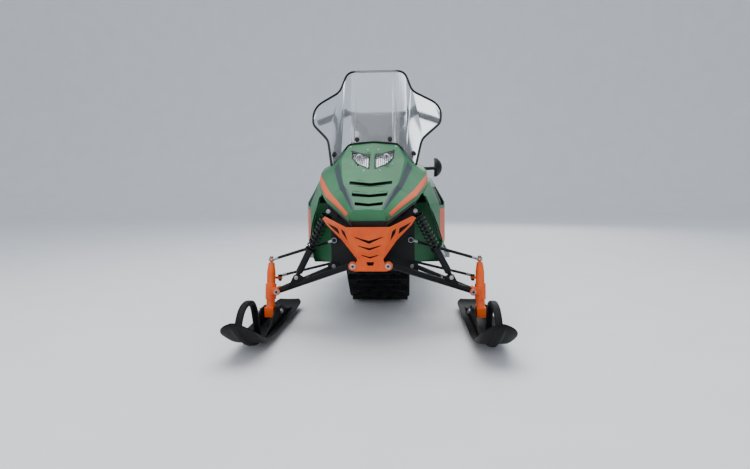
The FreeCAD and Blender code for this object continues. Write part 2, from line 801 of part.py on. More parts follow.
BUMPER_SHEET = V(0, 7, 0)
BUMPER_TOP = V(87, -1080, 527)
BUMPER_WAIST = V(55, -950, 380)
BUMPER_FOOT = V(72, -932, 326)
BUMPER_TIP = V(192, -1000, 557)
WING_OUTLINE = [(177, 567), (192, 557), (174, 528), (113, 464)]  # x, z
# Crescents in the middle plate: half width, then z of the tips, the middle's top and its bottom
BUMPER_CRESCENTS = [(57, 485, 467, 453), (47, 446, 433, 423), (35, 402, 392, 384)]
CRESCENT_TIP = 3.0
# Outlines of the other openings as x, z: at the fold, in the wing, and the left half of the foot's
BUMPER_OPENINGS = [
    [(112, 519), (96, 507), (86, 463), (107, 496)],
    [(172, 540), (125, 518), (120, 490), (160, 524)],
    [(0, 368), (17, 368), (11, 352), (0, 352)],
]
BUMPER_CUT_Y = (-1200, -800)
EYE_RING_R = 19.0
EYE_RING_LEAD = 6.0
STAY_TRIM = 400.0


def wing_y(x, z):
    """Where the wing's plane lies at x and z."""
    normal = (BUMPER_WAIST - BUMPER_TOP).cross(BUMPER_TIP - BUMPER_TOP)
    return BUMPER_TOP.y - (normal.x * (x - BUMPER_TOP.x) + normal.z * (z - BUMPER_TOP.z)) / normal.y


def flip(point):
    """The point's mirrored twin."""
    return V(-point.x, point.y, point.z)


def bumper_front_space():
    """All that lies ahead of the bumper's rear face, to trim the stays that end on it."""
    high, low = BUMPER_TOP, BUMPER_WAIST
    shift = BUMPER_SHEET
    lead = V(0, -STAY_TRIM, 0)
    quad = [high + shift, flip(high) + shift, flip(low) + shift, low + shift]
    return plate(quad, lead)


def make_bumper():
    """The folded steel bumper: a middle plate with slots, a foot with two eyes, and two wings."""
    high, low, foot = BUMPER_TOP, BUMPER_WAIST, BUMPER_FOOT
    middle = plate([high, flip(high), flip(low), low], BUMPER_SHEET)
    base = plate([low, flip(low), flip(foot), foot], BUMPER_SHEET)
    wing_points = [high] + [V(x, wing_y(x, z), z) for x, z in WING_OUTLINE] + [low]
    wing = plate(wing_points, BUMPER_SHEET)
    ring_start = V(PIVOT_X, BUMPER_FOOT.y - EYE_RING_LEAD, PIVOT_Z)
    ring_end = V(PIVOT_X, FRONT_BUSH_Y - BUSH_LENGTH / 2 - TAB, PIVOT_Z)
    ring = bar(ring_start, ring_end, EYE_RING_R)
    pieces = [middle, base] + list(both_sides(wing).Solids) + list(both_sides(ring).Solids)
    body = fused(pieces)
    near_y, far_y = BUMPER_CUT_Y
    outlines = list(BUMPER_OPENINGS)
    for half, tip, top, bottom in BUMPER_CRESCENTS:
        outlines.append([(0, top), (half, tip), (half, tip - CRESCENT_TIP), (0, bottom)])
    for outline in outlines:
        cutter = plate([V(x, near_y, z) for x, z in outline], V(0, far_y - near_y, 0))
        body = body.cut(both_sides(cutter))
    return body


# Arms, rods and shocks

BRACE_SHARE = 0.62
BRACE_R = 8.0
GUSSET_IN = 49.0
GUSSET_OUT = 43.0
GUSSET_TOP_HALF = 12.0
GUSSET_TOP_UP = 10.0
KNUCKLE_ROOM = 14.0
SLEEVE_ROOM = 6.0
SLEEVE_RUN = 30.0


def make_lower_arms():
    """Both lower arms: two tubes, inner bushes, outer rings and the gusset for the shock's foot."""
    half = BUSH_LENGTH / 2
    pieces = [
        bar(FRONT_PIVOT - V(0, half, 0), FRONT_PIVOT + V(0, half, 0), PIVOT_BUSH_R),
        bar(REAR_PIVOT - V(0, half, 0), REAR_PIVOT + V(0, half, 0), PIVOT_BUSH_R),
        bar(FRONT_PIVOT, FRONT_EYE, ARM_R),
        bar(REAR_PIVOT, REAR_EYE, REAR_ARM_R),
        bar(
            FRONT_PIVOT + (FRONT_EYE - FRONT_PIVOT) * BRACE_SHARE,
            REAR_PIVOT + (REAR_EYE - REAR_PIVOT) * BRACE_SHARE,
            BRACE_R,
        ),
    ]
    for eye in (FRONT_EYE, REAR_EYE):
        pieces.append(bar(eye - V(0, ARM_RING / 2, 0), eye + V(0, ARM_RING / 2, 0), EYE_R))
    for y in (SHOCK_LOW_Y - SHOCK_EYE / 2 - TAB, SHOCK_LOW_Y + SHOCK_EYE / 2):
        pieces.append(
            plate(
                [
                    V(SHOCK_LOW_X - GUSSET_IN, y, arm_z(SHOCK_LOW_X - GUSSET_IN)),
                    V(SHOCK_LOW_X - GUSSET_TOP_HALF, y, SHOCK_LOW_Z + GUSSET_TOP_UP),
                    V(SHOCK_LOW_X + GUSSET_TOP_HALF, y, SHOCK_LOW_Z + GUSSET_TOP_UP),
                    V(SHOCK_LOW_X + GUSSET_OUT, y, arm_z(SHOCK_LOW_X + GUSSET_OUT)),
                ],
                V(0, TAB, 0),
            )
        )
    arm = fused(pieces)
    eye_hole = bar(SHOCK_LOW - V(0, SHOCK_EYE / 2, 0), SHOCK_LOW + V(0, SHOCK_EYE / 2, 0), SHOCK_EYE_R)
    eye_front = V(EYE_X, EYE_Y - ARM_EYE_HALF, EYE_Z)
    eye_rear = V(EYE_X, EYE_Y + ARM_EYE_HALF, EYE_Z)
    knuckle_space = bar(eye_front, eye_rear, EYE_R + KNUCKLE_ROOM)
    sleeve_low = kingpin(KNUCKLE_LOW_Z - SLEEVE_RUN)
    sleeve_high = kingpin(KNUCKLE_HIGH_Z + SLEEVE_RUN)
    sleeve_space = bar(sleeve_low, sleeve_high, KNUCKLE_R + SLEEVE_ROOM)
    return both_sides(arm.cut(eye_hole).cut(knuckle_space).cut(sleeve_space))


def make_upper_rods():
    """Both upper rods with their thin necks, from the frame to the stud on top of the spindle."""
    stud = kingpin(STUD_MID_Z)
    along = unit(stud - ROD_IN)
    inner = bar(ROD_IN - V(0, ROD_EYE / 2, 0), ROD_IN + V(0, ROD_EYE / 2, 0), ROD_EYE_R)
    half = KINGPIN_UP * (ROD_EYE / 2)
    outer = bar(stud - half, stud + half, ROD_EYE_R)
    tube = bar(ROD_IN + along * ROD_NECK_IN, stud - along * ROD_NECK_OUT, ROD_R)
    rod = fused([bar(ROD_IN, stud, ROD_NECK_R), tube, inner, outer])
    rod = rod.cut(bar(stud - half * 3, stud + half * 3, STUD_R + RUN_FIT))
    return both_sides(rod)


SHOCK_BODY_R = 16.0
SHOCK_NECK_R = 10.0
SHOCK_ROD_R = 6.5
SHOCK_FOOT = 30.0
SPRING_FROM = 0.08
SPRING_TO = 0.56
SEAT_THICK = 5.0
CAP_LENGTH = 14.0


def make_shock_bodies():
    """Both dampers: a rod inside the spring above, a thick tube below, their eyes and spring seats."""
    run = SHOCK_LOW - SHOCK_TOP
    along = unit(run)
    spring_top = SHOCK_TOP + run * SPRING_FROM
    spring_end = SHOCK_TOP + run * SPRING_TO
    body_end = SHOCK_LOW - along * SHOCK_FOOT
    seat_r = SPRING_R + SPRING_WIRE_R
    pieces = [
        bar(SHOCK_TOP, spring_end, SHOCK_ROD_R),
        bar(spring_top - along * SEAT_THICK, spring_top, seat_r),
        bar(spring_end, spring_end + along * SEAT_THICK, seat_r),
        bar(spring_end, body_end, SHOCK_BODY_R),
        bar(spring_end - along * CAP_LENGTH, spring_end, SHOCK_NECK_R),
        Part.makeCone(SHOCK_BODY_R, SHOCK_NECK_R, SHOCK_FOOT / 4, body_end, along),
        bar(body_end, SHOCK_LOW, SHOCK_NECK_R),
    ]
    for eye in (SHOCK_TOP, SHOCK_LOW):
        pieces.append(bar(eye - V(0, SHOCK_EYE / 2, 0), eye + V(0, SHOCK_EYE / 2, 0), SHOCK_EYE_R))
    return both_sides(fused(pieces))


def make_shock_springs():
    """Both springs as stacked rings of six-sided wire joined by one strip, closed at their ends."""
    run = SHOCK_LOW - SHOCK_TOP
    start = SHOCK_TOP + run * SPRING_FROM
    end = SHOCK_TOP + run * SPRING_TO
    along = unit(end - start)
    out = unit(along.cross(LATERAL))
    length = (end - start).Length
    pieces = []
    for i in range(SPRING_TURNS + 1):
        at = start + along * (SPRING_WIRE_R + (length - 2 * SPRING_WIRE_R) * i / SPRING_TURNS)
        middle = at + out * SPRING_R
        corners = []
        for k in range(6):
            turn = math.pi * k / 3
            corners.append(middle + (out * math.sin(turn) + along * math.cos(turn)) * SPRING_WIRE_R)
        pieces.append(Part.Face(polygon(corners)).revolve(at, along, 360))
    strip = out * SPRING_R
    pieces.append(bar(start + strip, end + strip, SPRING_WIRE_R / 2))
    return both_sides(fused(pieces))


# Knuckles and spindles

COLLAR = 10.0
COLLAR_R = 26.0
WEB_HALF_Y = 12.0
WEB_HALF_Z = 14.0
BORE_RUN = 40.0


def make_knuckles():
    """Both knuckles: a sleeve round the spindle and an eye held between the arm's rings."""
    sleeve = bar(kingpin(KNUCKLE_LOW_Z), kingpin(KNUCKLE_HIGH_Z), KNUCKLE_R)
    eye = bar(V(EYE_X, EYE_Y - ARM_EYE_HALF, EYE_Z), V(EYE_X, EYE_Y + ARM_EYE_HALF, EYE_Z), EYE_R)
    web_y = (EYE_Y - WEB_HALF_Y, EYE_Y + WEB_HALF_Y)
    web = block((EYE_X, STANCE / 2), web_y, (EYE_Z - WEB_HALF_Z, EYE_Z + WEB_HALF_Z))
    knuckle = fused([sleeve, eye, web])
    bore = bar(kingpin(KNUCKLE_LOW_Z - BORE_RUN), kingpin(KNUCKLE_HIGH_Z + BORE_RUN), SPINDLE_R + RUN_FIT)
    return both_sides(knuckle.cut(bore))


STEER_BACK = KINGPIN_UP.cross(LATERAL) * math.sqrt(STEER_ARM**2 - STEER_ARM_IN**2)
STEER_TIP = kingpin(STEER_ARM_Z) + STEER_BACK - V(STEER_ARM_IN, 0, 0)
STEER_ARM_THICK = 10.0
STEER_ROOT_HALF = 18.0
STEER_TIP_R = 12.0
STUD_NUT_R = 9.0
STUD_NUT = 7.0
TIE_EYE = 12.0
TIE_PIN_R = 5.0
TIE_NUT_R = 9.0


def make_spindle():
    """The left spindle: a stepped tube with collars, a steering arm and the saddle for the ski."""
    low_collar = kingpin(KNUCKLE_LOW_Z) - KINGPIN_UP * SLIP
    high_collar = kingpin(KNUCKLE_HIGH_Z) + KINGPIN_UP * SLIP
    shoulder = kingpin(SPINDLE_SHOULDER_Z)
    top = kingpin(SPINDLE_TOP_Z)
    cone_height = (top - shoulder).Length
    stud_top = kingpin(STUD_MID_Z) + KINGPIN_UP * (ROD_EYE / 2 + SLIP)
    arm_half = KINGPIN_UP * (STEER_ARM_THICK / 2)
    arm_mid = kingpin(STEER_ARM_Z)
    root = V(STEER_ROOT_HALF, 0, 0)
    end = V(STEER_TIP_R - 1, 0, 0)
    corners = [arm_mid + root, STEER_TIP + end, STEER_TIP - end, arm_mid - root]
    arm = plate([p - arm_half for p in corners], arm_half * 2)
    tip = bar(STEER_TIP - arm_half, STEER_TIP + arm_half, STEER_TIP_R)
    pieces = [
        bar(kingpin(SKI_PIVOT_Z), kingpin(SPINDLE_SHOULDER_Z), SPINDLE_R),
        Part.makeCone(SPINDLE_R, SPINDLE_TOP_R, cone_height, shoulder, KINGPIN_UP),
        bar(low_collar - KINGPIN_UP * COLLAR, low_collar, COLLAR_R),
        bar(high_collar, high_collar + KINGPIN_UP * COLLAR, COLLAR_R),
        bar(top - KINGPIN_UP, stud_top + KINGPIN_UP, STUD_R),
        bar(stud_top, stud_top + KINGPIN_UP * STUD_NUT, STUD_NUT_R),
        arm,
        tip,
        saddle(),
    ]
    hole = bar(STEER_TIP - arm_half * 3, STEER_TIP + arm_half * 3, TIE_PIN_R + RUN_FIT)
    return fused(pieces).cut(hole)


SADDLE_Y = 34.0
SADDLE_LOW = 24.0
SADDLE_HIGH = 22.0


def saddle():
    """The block at the spindle's foot that the ski's bolt passes through."""
    x = STANCE / 2
    return block(
        (x - SADDLE_HALF, x + SADDLE_HALF),
        (SKI_PIVOT_Y - SADDLE_Y, SKI_PIVOT_Y + SADDLE_Y),
        (SKI_PIVOT_Z - SADDLE_LOW, SKI_PIVOT_Z + SADDLE_HIGH),
    )


# Skis

# y, height of the deck's underside, half width, depth of the keel
SKI = [
    (FRONT_Y, 134, 20, 3),
    (FRONT_Y + 12, 129, 47, 4),
    (FRONT_Y + 36, 118, 65, 5),
    (FRONT_Y + 80, 98, 72, 7),
    (FRONT_Y + 130, 74, 74, 9),
    (FRONT_Y + 220, 40, 75, 14),
    (FRONT_Y + 310, SKI_BASE_Z, 75, 17),
    (-300, SKI_BASE_Z, 75, 17),
    (-250, 30, 70, 12),
    (SKI_REAR_Y, 44, 52, 4),
]
EDGE_RISE = 15.0
EDGE_SLOPE = 15.0
EDGE_LIP = 8.0
EDGE_INSET = 3.0
NARROW_SLOPE = 0.4
NARROW_KEEL = 0.9
KEEL_TAPER = 0.7
RIB_FOOT_Z = 28.0
RIB_LINE = [(FRONT_Y + 290, 36), (-820, 60), (-710, 112), (-620, 112), (-480, 62), (-330, 34)]  # y, z


def ski_section(y, z, half, keel):
    """The section of the ski: a deck with turned-up edges and a keel below it."""
    x = STANCE / 2
    slope = min(EDGE_SLOPE, half * NARROW_SLOPE)
    keel_half = min(KEEL_WIDTH / 2, (half - slope) * NARROW_KEEL)
    right = [
        (keel_half * KEEL_TAPER, z - keel),
        (keel_half, z),
        (half - slope, z),
        (half, z + EDGE_RISE),
        (half, z + EDGE_RISE + EDGE_LIP),
        (half - slope - EDGE_INSET, z + SKI_PLATE),
    ]
    line = right + [(-px, pz) for px, pz in reversed(right)]
    return [V(x + px, y, pz) for px, pz in line]


RUNNER_LINE = [(-300, 22), (-340, RUNNER_R), (FRONT_Y + 360, RUNNER_R), (FRONT_Y + 320, 22)]  # y, z
RUNNER_BEND = 30.0


def make_runner():
    """The left ski's steel runner."""
    return bent_bar([V(STANCE / 2, y, z) for y, z in RUNNER_LINE], RUNNER_BEND, RUNNER_R)


LOOP_WIDTH = 28.0
LOOP_THICK = 10.0
LOOP_BEND = 34.0
# y and z of the handle's middle line, from the tip back to the deck
LOOP_PATH = [
    (FRONT_Y + 51, 119),
    (FRONT_Y + 100, 192),
    (FRONT_Y + 210, 214),
    (FRONT_Y + 290, 196),
    (FRONT_Y + 345, 33),
]


def strap(line, bend, x, width, thick):
    """A flat strap in the fore-and-aft plane, its line of (y, z) points turning to the right."""
    inner = inset_line(line, thick / 2)
    outer = inset_line(line, -thick / 2)
    last = len(line) - 1
    low_x = x - width / 2
    corners = []
    for i, (y, z) in enumerate(outer):
        corners.append((V(low_x, y, z), 0 if i in (0, last) else bend + thick / 2))
    for i, (y, z) in reversed(list(enumerate(inner))):
        corners.append((V(low_x, y, z), 0 if i in (0, last) else bend - thick / 2))
    return rounded_plate(corners, V(width, 0, 0))


SKI_BOLT_R = 8.0
SKI_BOLT_OUT = 12.0


def make_ski():
    """The left ski: deck, keel, two ribs that hold the spindle's foot, and the handle at its tip."""
    x = STANCE / 2
    deck = loft([ski_section(*row) for row in SKI])
    ribs = []
    for side in (-1, 1):
        line = [V(x + side * RIB_X - RIB_THICK / 2, y, z) for y, z in RIB_LINE]
        foot = [V(line[0].x, RIB_LINE[-1][0], RIB_FOOT_Z), V(line[0].x, RIB_LINE[0][0], RIB_FOOT_Z)]
        ribs.append(plate(line + foot, V(RIB_THICK, 0, 0)))
    reach = V(RIB_X + SKI_BOLT_OUT, 0, 0)
    middle = V(x, SKI_PIVOT_Y, SKI_PIVOT_Z)
    bolt = bar(middle - reach, middle + reach, SKI_BOLT_R).cut(saddle())
    loop = strap(LOOP_PATH, LOOP_BEND, x, LOOP_WIDTH, LOOP_THICK)
    return fused([deck, loop] + ribs + list(bolt.Solids)).cut(make_runner())


# Tie rods

COLUMN_UP = unit(COLUMN_HEAD - COLUMN_BASE)
PITMAN_BACK = COLUMN_UP.cross(LATERAL)
PITMAN_MID = COLUMN_BASE + PITMAN_BACK * PITMAN
PITMAN_PIN = PITMAN_MID + V(PITMAN_IN, 0, 0)
PITMAN_THICK = 8.0
TIE_R = 6.5
TIE_EYE_R = 11.0
TIE_DROP = 2.0
TIE_NUT = 8.0
TIE_PIN_END = 10.0


def make_tie_rod():
    """The left tie rod: its outer eye sits on the steering arm, its inner eye below the pitman."""
    outer = STEER_TIP + KINGPIN_UP * (STEER_ARM_THICK / 2 + SLIP + TIE_EYE / 2)
    inner = PITMAN_PIN - COLUMN_UP * (PITMAN_THICK / 2 + TIE_DROP + TIE_EYE / 2)
    half_out = KINGPIN_UP * (TIE_EYE / 2)
    half_in = COLUMN_UP * (TIE_EYE / 2)
    nut_top = STEER_TIP - KINGPIN_UP * (STEER_ARM_THICK / 2 + SLIP)
    pieces = [
        bar(outer, inner, TIE_R),
        bar(outer - half_out, outer + half_out, TIE_EYE_R),
        bar(inner - half_in, inner + half_in, TIE_EYE_R),
        bar(nut_top - KINGPIN_UP * TIE_PIN_END, outer, TIE_PIN_R),
        bar(nut_top - KINGPIN_UP * TIE_NUT, nut_top, TIE_NUT_R),
    ]
    return fused(pieces)


# Handlebar

# The left half of the bar's middle line, from the clamp to its end
BAR_HALF = [V(72, -98, 1030), V(168, -114, 1086), V(332, -76, 1034)]
BAR_BEND = 45.0
PITMAN_HALF = 16.0
PITMAN_EDGE = 14.0
PITMAN_TAIL = 13.0
CLAMP_X = (-34, 34)
CLAMP_Y = (-120, -74)
CLAMP_Z = (1000, 1048)


def bar_line():
    """The handlebar's bent round bar."""
    right = [V(-p.x, p.y, p.z) for p in reversed(BAR_HALF)]
    return bent_bar(right + BAR_HALF, BAR_BEND, BAR_R)


def bar_point(share):
    """A point of the left grip's run, 0 at its inner bend and 1 at its end."""
    inner, outer = BAR_HALF[1:]
    return inner + (outer - inner) * share


def make_handlebar():
    """The steering column with its pitman plate, its head clamp and the bent bar."""
    column = bar(COLUMN_BASE - COLUMN_UP * COLUMN_TAIL, COLUMN_HEAD, COLUMN_R)
    half = COLUMN_UP * (PITMAN_THICK / 2)
    root = V(PITMAN_HALF, 0, 0)
    wide = V(PITMAN_IN + PITMAN_EDGE, 0, 0)
    tail = PITMAN_MID + PITMAN_BACK * PITMAN_TAIL
    corners = [COLUMN_BASE + root, PITMAN_MID + wide, tail + wide]
    corners += [tail - wide, PITMAN_MID - wide, COLUMN_BASE - root]
    pitman = plate([p - half for p in corners], half * 2)
    clamp = block(CLAMP_X, CLAMP_Y, CLAMP_Z)
    return fused([column, pitman, clamp, bar_line()])


# Along the grip's run, as shares of it
GRIP_FROM = 0.24
SWITCH_RUN = (0.02, 0.22)
LEVER_END = 0.95
GRIP_CAP = 6.0
SWITCH_R = 23.0
# The lever's points off the switch block's inner end, then its tip's place off the grip
LEVER_ROOT = [V(6, -20, -2), V(26, -62, -10)]
LEVER_TIP = V(0, -56, -6)
LEVER_BEND = 18.0
LEVER_R = 5.5


def make_grips():
    """Both rubber grips, each a closed sleeve on the bar's end."""
    low = bar_point(GRIP_FROM)
    high = bar_point(1.0)
    cap = unit(high - low) * GRIP_CAP
    return both_sides(bar(low, high + cap, GRIP_R).cut(bar(low - cap, high, BAR_R)))


def make_bar_controls():
    """The switch blocks and levers inboard of the grips."""
    inner, outer = [bar_point(share) for share in SWITCH_RUN]
    housing = bar(inner, outer, SWITCH_R)
    lever_line = [inner + p for p in LEVER_ROOT] + [bar_point(LEVER_END) + LEVER_TIP]
    piece = fused([housing, bent_bar(lever_line, LEVER_BEND, LEVER_R)])
    return both_sides(piece).cut(bar_line())


# Pad on the bar's middle: distance along the column from its head, half width, front, rear
PAD = [(-124, 54, 28, 28), (-52, 104, 38, 36), (12, 150, 54, 40), (60, 160, 66, 28)]


def make_bar_pad():
    """The soft cover over the bar's middle, narrowing down the column."""
    sections = []
    for along, half, front, rear in PAD:
        at = COLUMN_HEAD + COLUMN_UP * along
        side = V(half, 0, 0)
        front_middle = at - PITMAN_BACK * front
        rear_middle = at + PITMAN_BACK * rear
        sections.append([front_middle + side, front_middle - side, rear_middle - side, rear_middle + side])
    return loft(sections).cut(make_handlebar())


# Track

def ring_stops():
    """The circles that the belt's inner face runs round: y, z and radius, in the order of its run."""
    lean = math.radians(APPROACH_DEG)
    bend_z = GROUND_RUN_Z + APPROACH_R
    gain = APPROACH_R - SPROCKET_R - (bend_z - SPROCKET_Z) * math.cos(lean)
    bend_y = SPROCKET_Y + gain / math.sin(lean)
    return [
        (SPROCKET_Y, SPROCKET_Z, SPROCKET_R),
        (bend_y, bend_z, APPROACH_R),
        (IDLER_Y, IDLER_Z, IDLER_R),
    ]


def belt_runs():
    """The straight runs of the belt's inner face: the circle each leaves and meets, and its normal."""
    stops = ring_stops()
    runs = []
    for i, (ay, az, ar) in enumerate(stops):
        by, bz, br = stops[(i + 1) % len(stops)]
        length = math.hypot(by - ay, bz - az)
        uy, uz = (by - ay) / length, (bz - az) / length
        lean = (ar - br) / length
        rest = math.sqrt(1 - lean * lean)
        runs.append((lean * uy + rest * uz, lean * uz - rest * uy))
    return runs


def belt_wire(x, grow):
    """The closed line of the belt, off its inner face by grow, in the plane at x."""
    stops = ring_stops()
    runs = belt_runs()
    edges = []
    for i, (y, z, radius) in enumerate(stops):
        centre = V(x, y, z)
        r = radius + grow
        n_in = V(0, runs[i - 1][0], runs[i - 1][1])
        n_out = V(0, runs[i][0], runs[i][1])
        middle = unit(n_in + n_out)
        edges.append(Part.Arc(centre + n_in * r, centre + middle * r, centre + n_out * r).toShape())
        ny, nz, nr = stops[(i + 1) % len(stops)]
        edges.append(Part.LineSegment(centre + n_out * r, V(x, ny, nz) + n_out * (nr + grow)).toShape())
    return Part.Wire(edges)


def belt_length(grow):
    """The length of the belt's line."""
    return belt_wire(0, grow).Length


def belt_station(distance, grow):
    """The point and the outward normal of the belt's line at a distance along it."""
    stops = ring_stops()
    runs = belt_runs()
    left = distance
    for i, (y, z, radius) in enumerate(stops):
        r = radius + grow
        n_in = V(0, runs[i - 1][0], runs[i - 1][1])
        n_out = V(0, runs[i][0], runs[i][1])
        angle = n_in.getAngle(n_out)
        if left <= r * angle:
            turn = left / r
            side = V(0, -n_in.z, n_in.y)
            normal = n_in * math.cos(turn) + side * math.sin(turn)
            return V(0, y, z) + normal * r, normal
        left -= r * angle
        start = V(0, y, z) + n_out * r
        ny, nz, nr = stops[(i + 1) % len(stops)]
        end = V(0, ny, nz) + n_out * (nr + grow)
        run = (end - start).Length
        if left <= run:
            return start + (end - start) * (left / run), n_out
        left -= run
    first_y, first_z, first_r = stops[0]
    normal = V(0, *runs[-1])
    return V(0, first_y, first_z) + normal * (first_r + grow), normal


# Low and high x of the paddles of each row; the rows follow one another in turn
LUG_ROWS = [[(-160, -64), (-44, 44), (64, 160)], [(-118, -8), (8, 118)]]


def make_track():
    """The belt and its lugs as one closed loop."""
    half = TRACK_WIDTH / 2
    outer = Part.Face(belt_wire(-half, BELT))
    inner = Part.Face(belt_wire(-half, 0))
    belt = outer.extrude(V(TRACK_WIDTH, 0, 0)).cut(inner.extrude(V(TRACK_WIDTH, 0, 0)))
    length = belt_length(BELT)
    count = round(length / LUG_PITCH)
    lugs = []
    for i in range(count):
        point, normal = belt_station(length * i / count, BELT)
        along = normal.cross(LATERAL)
        for low_x, high_x in LUG_ROWS[i % len(LUG_ROWS)]:
            foot = point - normal * LUG_SINK
            tip = point + normal * LUG_HEIGHT
            profile = [
                foot - along * (LUG_BASE / 2),
                foot + along * (LUG_BASE / 2),
                tip + along * (LUG_TIP / 2),
                tip - along * (LUG_TIP / 2),
            ]
            profile = [V(low_x, p.y, p.z) for p in profile]
            lugs.append(plate(profile, V(high_x - low_x, 0, 0)))
    return belt.multiFuse(lugs)


# Skid inside the track

RAIL_REAR_Y = IDLER_Y - 24
# How far the low and high edges of a rail run up its front slope
RAIL_FRONT_RUN = (187.0, 166.0)
ARM_PLATE_FRONT = 40.0
ARM_PLATE_REAR = 24.0
ARM_PLATE_LOW = 50.0
ARM_PLATE_TOP = 22.0


def rail_corner(depth):
    """The corner between the ground run and the approach, inside the belt by a depth."""
    _, (y, z, radius), _ = ring_stops()
    lean = math.radians(APPROACH_DEG)
    n1 = V(0, 0, -1)
    n2 = V(0, -math.sin(lean), -math.cos(lean))
    return V(0, y, z) + (n1 + n2) * ((radius - depth) / (1 + n1.dot(n2)))


def rail_plate(low_depth, high_depth, x, thick):
    """A bent bar seen from the side, between two depths inside the belt."""
    lean = math.radians(APPROACH_DEG)
    up_front = V(0, -math.cos(lean), math.sin(lean))
    shift = V(x - thick / 2, 0, 0)
    low = rail_corner(low_depth)
    high = rail_corner(high_depth)
    corners = [
        (V(0, RAIL_REAR_Y, GROUND_RUN_Z + low_depth), 0),
        (low, APPROACH_R - low_depth),
        (low + up_front * RAIL_FRONT_RUN[0], 0),
        (high + up_front * RAIL_FRONT_RUN[1], 0),
        (high, APPROACH_R - high_depth),
        (V(0, RAIL_REAR_Y, GROUND_RUN_Z + high_depth), 0),
    ]
    return rounded_plate([(p + shift, r) for p, r in corners], V(thick, 0, 0))


FRONT_ARM = (-150, 300, 96, 96)  # y and z of its upper tube, then of its lower tube
REAR_ARM = (200, 298, 560, 98)
SKID_TUBE_R = 13.0
STRUT_R = 11.0
STRUT_X = 78.0


def skid_arm(table):
    """One suspension arm inside the track: two cross tubes and two struts."""
    up_y, up_z, low_y, low_z = table
    half = TUNNEL_INSIDE / 2
    in_x = RAIL_X - RAIL_THICK / 2
    pieces = [
        bar(V(-half, up_y, up_z), V(half, up_y, up_z), SKID_TUBE_R),
        bar(V(-in_x, low_y, low_z), V(in_x, low_y, low_z), SKID_TUBE_R),
    ]
    for side in (-1, 1):
        x = side * STRUT_X
        pieces.append(bar(V(x, up_y, up_z), V(x, low_y, low_z), STRUT_R))
    return fused(pieces)


SKID_SHOCK_R = 22.0


def make_skid_arms():
    """The front and rear arms of the skid, each with its damper between the tubes."""
    solids = []
    for table in (FRONT_ARM, REAR_ARM):
        up_y, up_z, low_y, low_z = table
        arm = skid_arm(table)
        damper = bar(V(0, up_y, up_z), V(0, low_y, low_z), SKID_SHOCK_R)
        solids.append(fused([arm, damper]))
    return Part.makeCompound(solids)


# The wheels that run on the belt's ground run, and those that carry its upper run: y and radius
BOGIES = [(170, 62), (430, 62), (650, 62)]
CARRIERS = [(430, 48)]
BRACKET_HALF = 15.0


def wheel_places():
    """The middle and radius of each small wheel inside the belt."""
    places = [(V(0, y, GROUND_RUN_Z + radius + SLIP), radius) for y, radius in BOGIES]
    normal = V(0, *belt_runs()[-1])
    _, top_z, top_r = ring_stops()[-1]
    for y, radius in CARRIERS:
        foot = V(0, IDLER_Y, IDLER_Z) + normal * top_r
        climb = (foot.y - y) * normal.y / normal.z
        places.append((V(0, y, foot.z + climb) - normal * (radius + SLIP), radius))
    return places


def make_slide_rails():
    """Both rails with the plastic strips that slide on the belt, and the brackets for the wheels."""
    rail = rail_plate(SLIDER, SLIDER + RAIL_HEIGHT, RAIL_X, RAIL_THICK)
    strip = rail_plate(0, SLIDER, RAIL_X, SLIDER_WIDTH)
    thick = (RAIL_X - RAIL_THICK / 2, RAIL_X + RAIL_THICK / 2)
    arm_y = (RAIL_REAR_Y - ARM_PLATE_FRONT, IDLER_Y + ARM_PLATE_REAR)
    arm = block(thick, arm_y, (GROUND_RUN_Z + ARM_PLATE_LOW, IDLER_Z + ARM_PLATE_TOP))
    pieces = [rail, strip, arm]
    axles = [bar(V(0, IDLER_Y, IDLER_Z), V(TRACK_WIDTH, IDLER_Y, IDLER_Z), AXLE_R)]
    for at, _ in wheel_places():
        y_range = (at.y - BRACKET_HALF, at.y + BRACKET_HALF)
        pieces.append(block(thick, y_range, (GROUND_RUN_Z + SLIDER, at.z + BRACKET_HALF)))
        axles.append(bar(at, at + V(TRACK_WIDTH, 0, 0), AXLE_R))
    side = fused(pieces)
    for axle in axles:
        side = side.cut(axle)
    return both_sides(side)


IDLER_X = 140.0
HUB_SHARE = 0.4
RIM_SHARE = 0.8
RIM_RECESS = 7.0


def wheel(at, radius):
    """A wheel across the track's inside: a hub and a rim with a thinner web between them."""
    half = V(WHEEL_WIDTH / 2, 0, 0)
    recess = V(RIM_RECESS, 0, 0)
    disc = bar(at - half, at + half, radius)
    for face in (at - half, at + half - recess):
        hub = bar(face, face + recess, radius * HUB_SHARE)
        disc = disc.cut(bar(face, face + recess, radius * RIM_SHARE).cut(hub))
    return disc


def make_idler_wheels():
    """All wheels inside the belt in pairs on their axles: rear idlers, bogies and upper carriers."""
    sets = []
    for at, radius in [(V(0, IDLER_Y, IDLER_Z), IDLER_R - SLIP)] + wheel_places():
        end = V(IDLER_X + WHEEL_WIDTH / 2, 0, 0)
        pair = [bar(at - end, at + end, AXLE_R)]
        for side in (-1, 1):
            pair.append(wheel(at + V(side * IDLER_X, 0, 0), radius))
        sets.append(fused(pair))
    return Part.makeCompound(sets)


SPROCKET_X = 78.0
SPROCKET_WIDTH = 40.0
DRIVE_SHAFT_R = 14.0


def make_drive_axle():
    """The drive axle with its two sprockets, held in the tunnel's sides."""
    half = TUNNEL_INSIDE / 2
    pieces = [bar(V(-half, SPROCKET_Y, SPROCKET_Z), V(half, SPROCKET_Y, SPROCKET_Z), DRIVE_SHAFT_R)]
    for side in (-1, 1):
        x = side * SPROCKET_X
        low = V(x - SPROCKET_WIDTH / 2, SPROCKET_Y, SPROCKET_Z)
        high = V(x + SPROCKET_WIDTH / 2, SPROCKET_Y, SPROCKET_Z)
        pieces.append(bar(low, high, SPROCKET_R))
    return fused(pieces)


# Tunnel, boards and rear

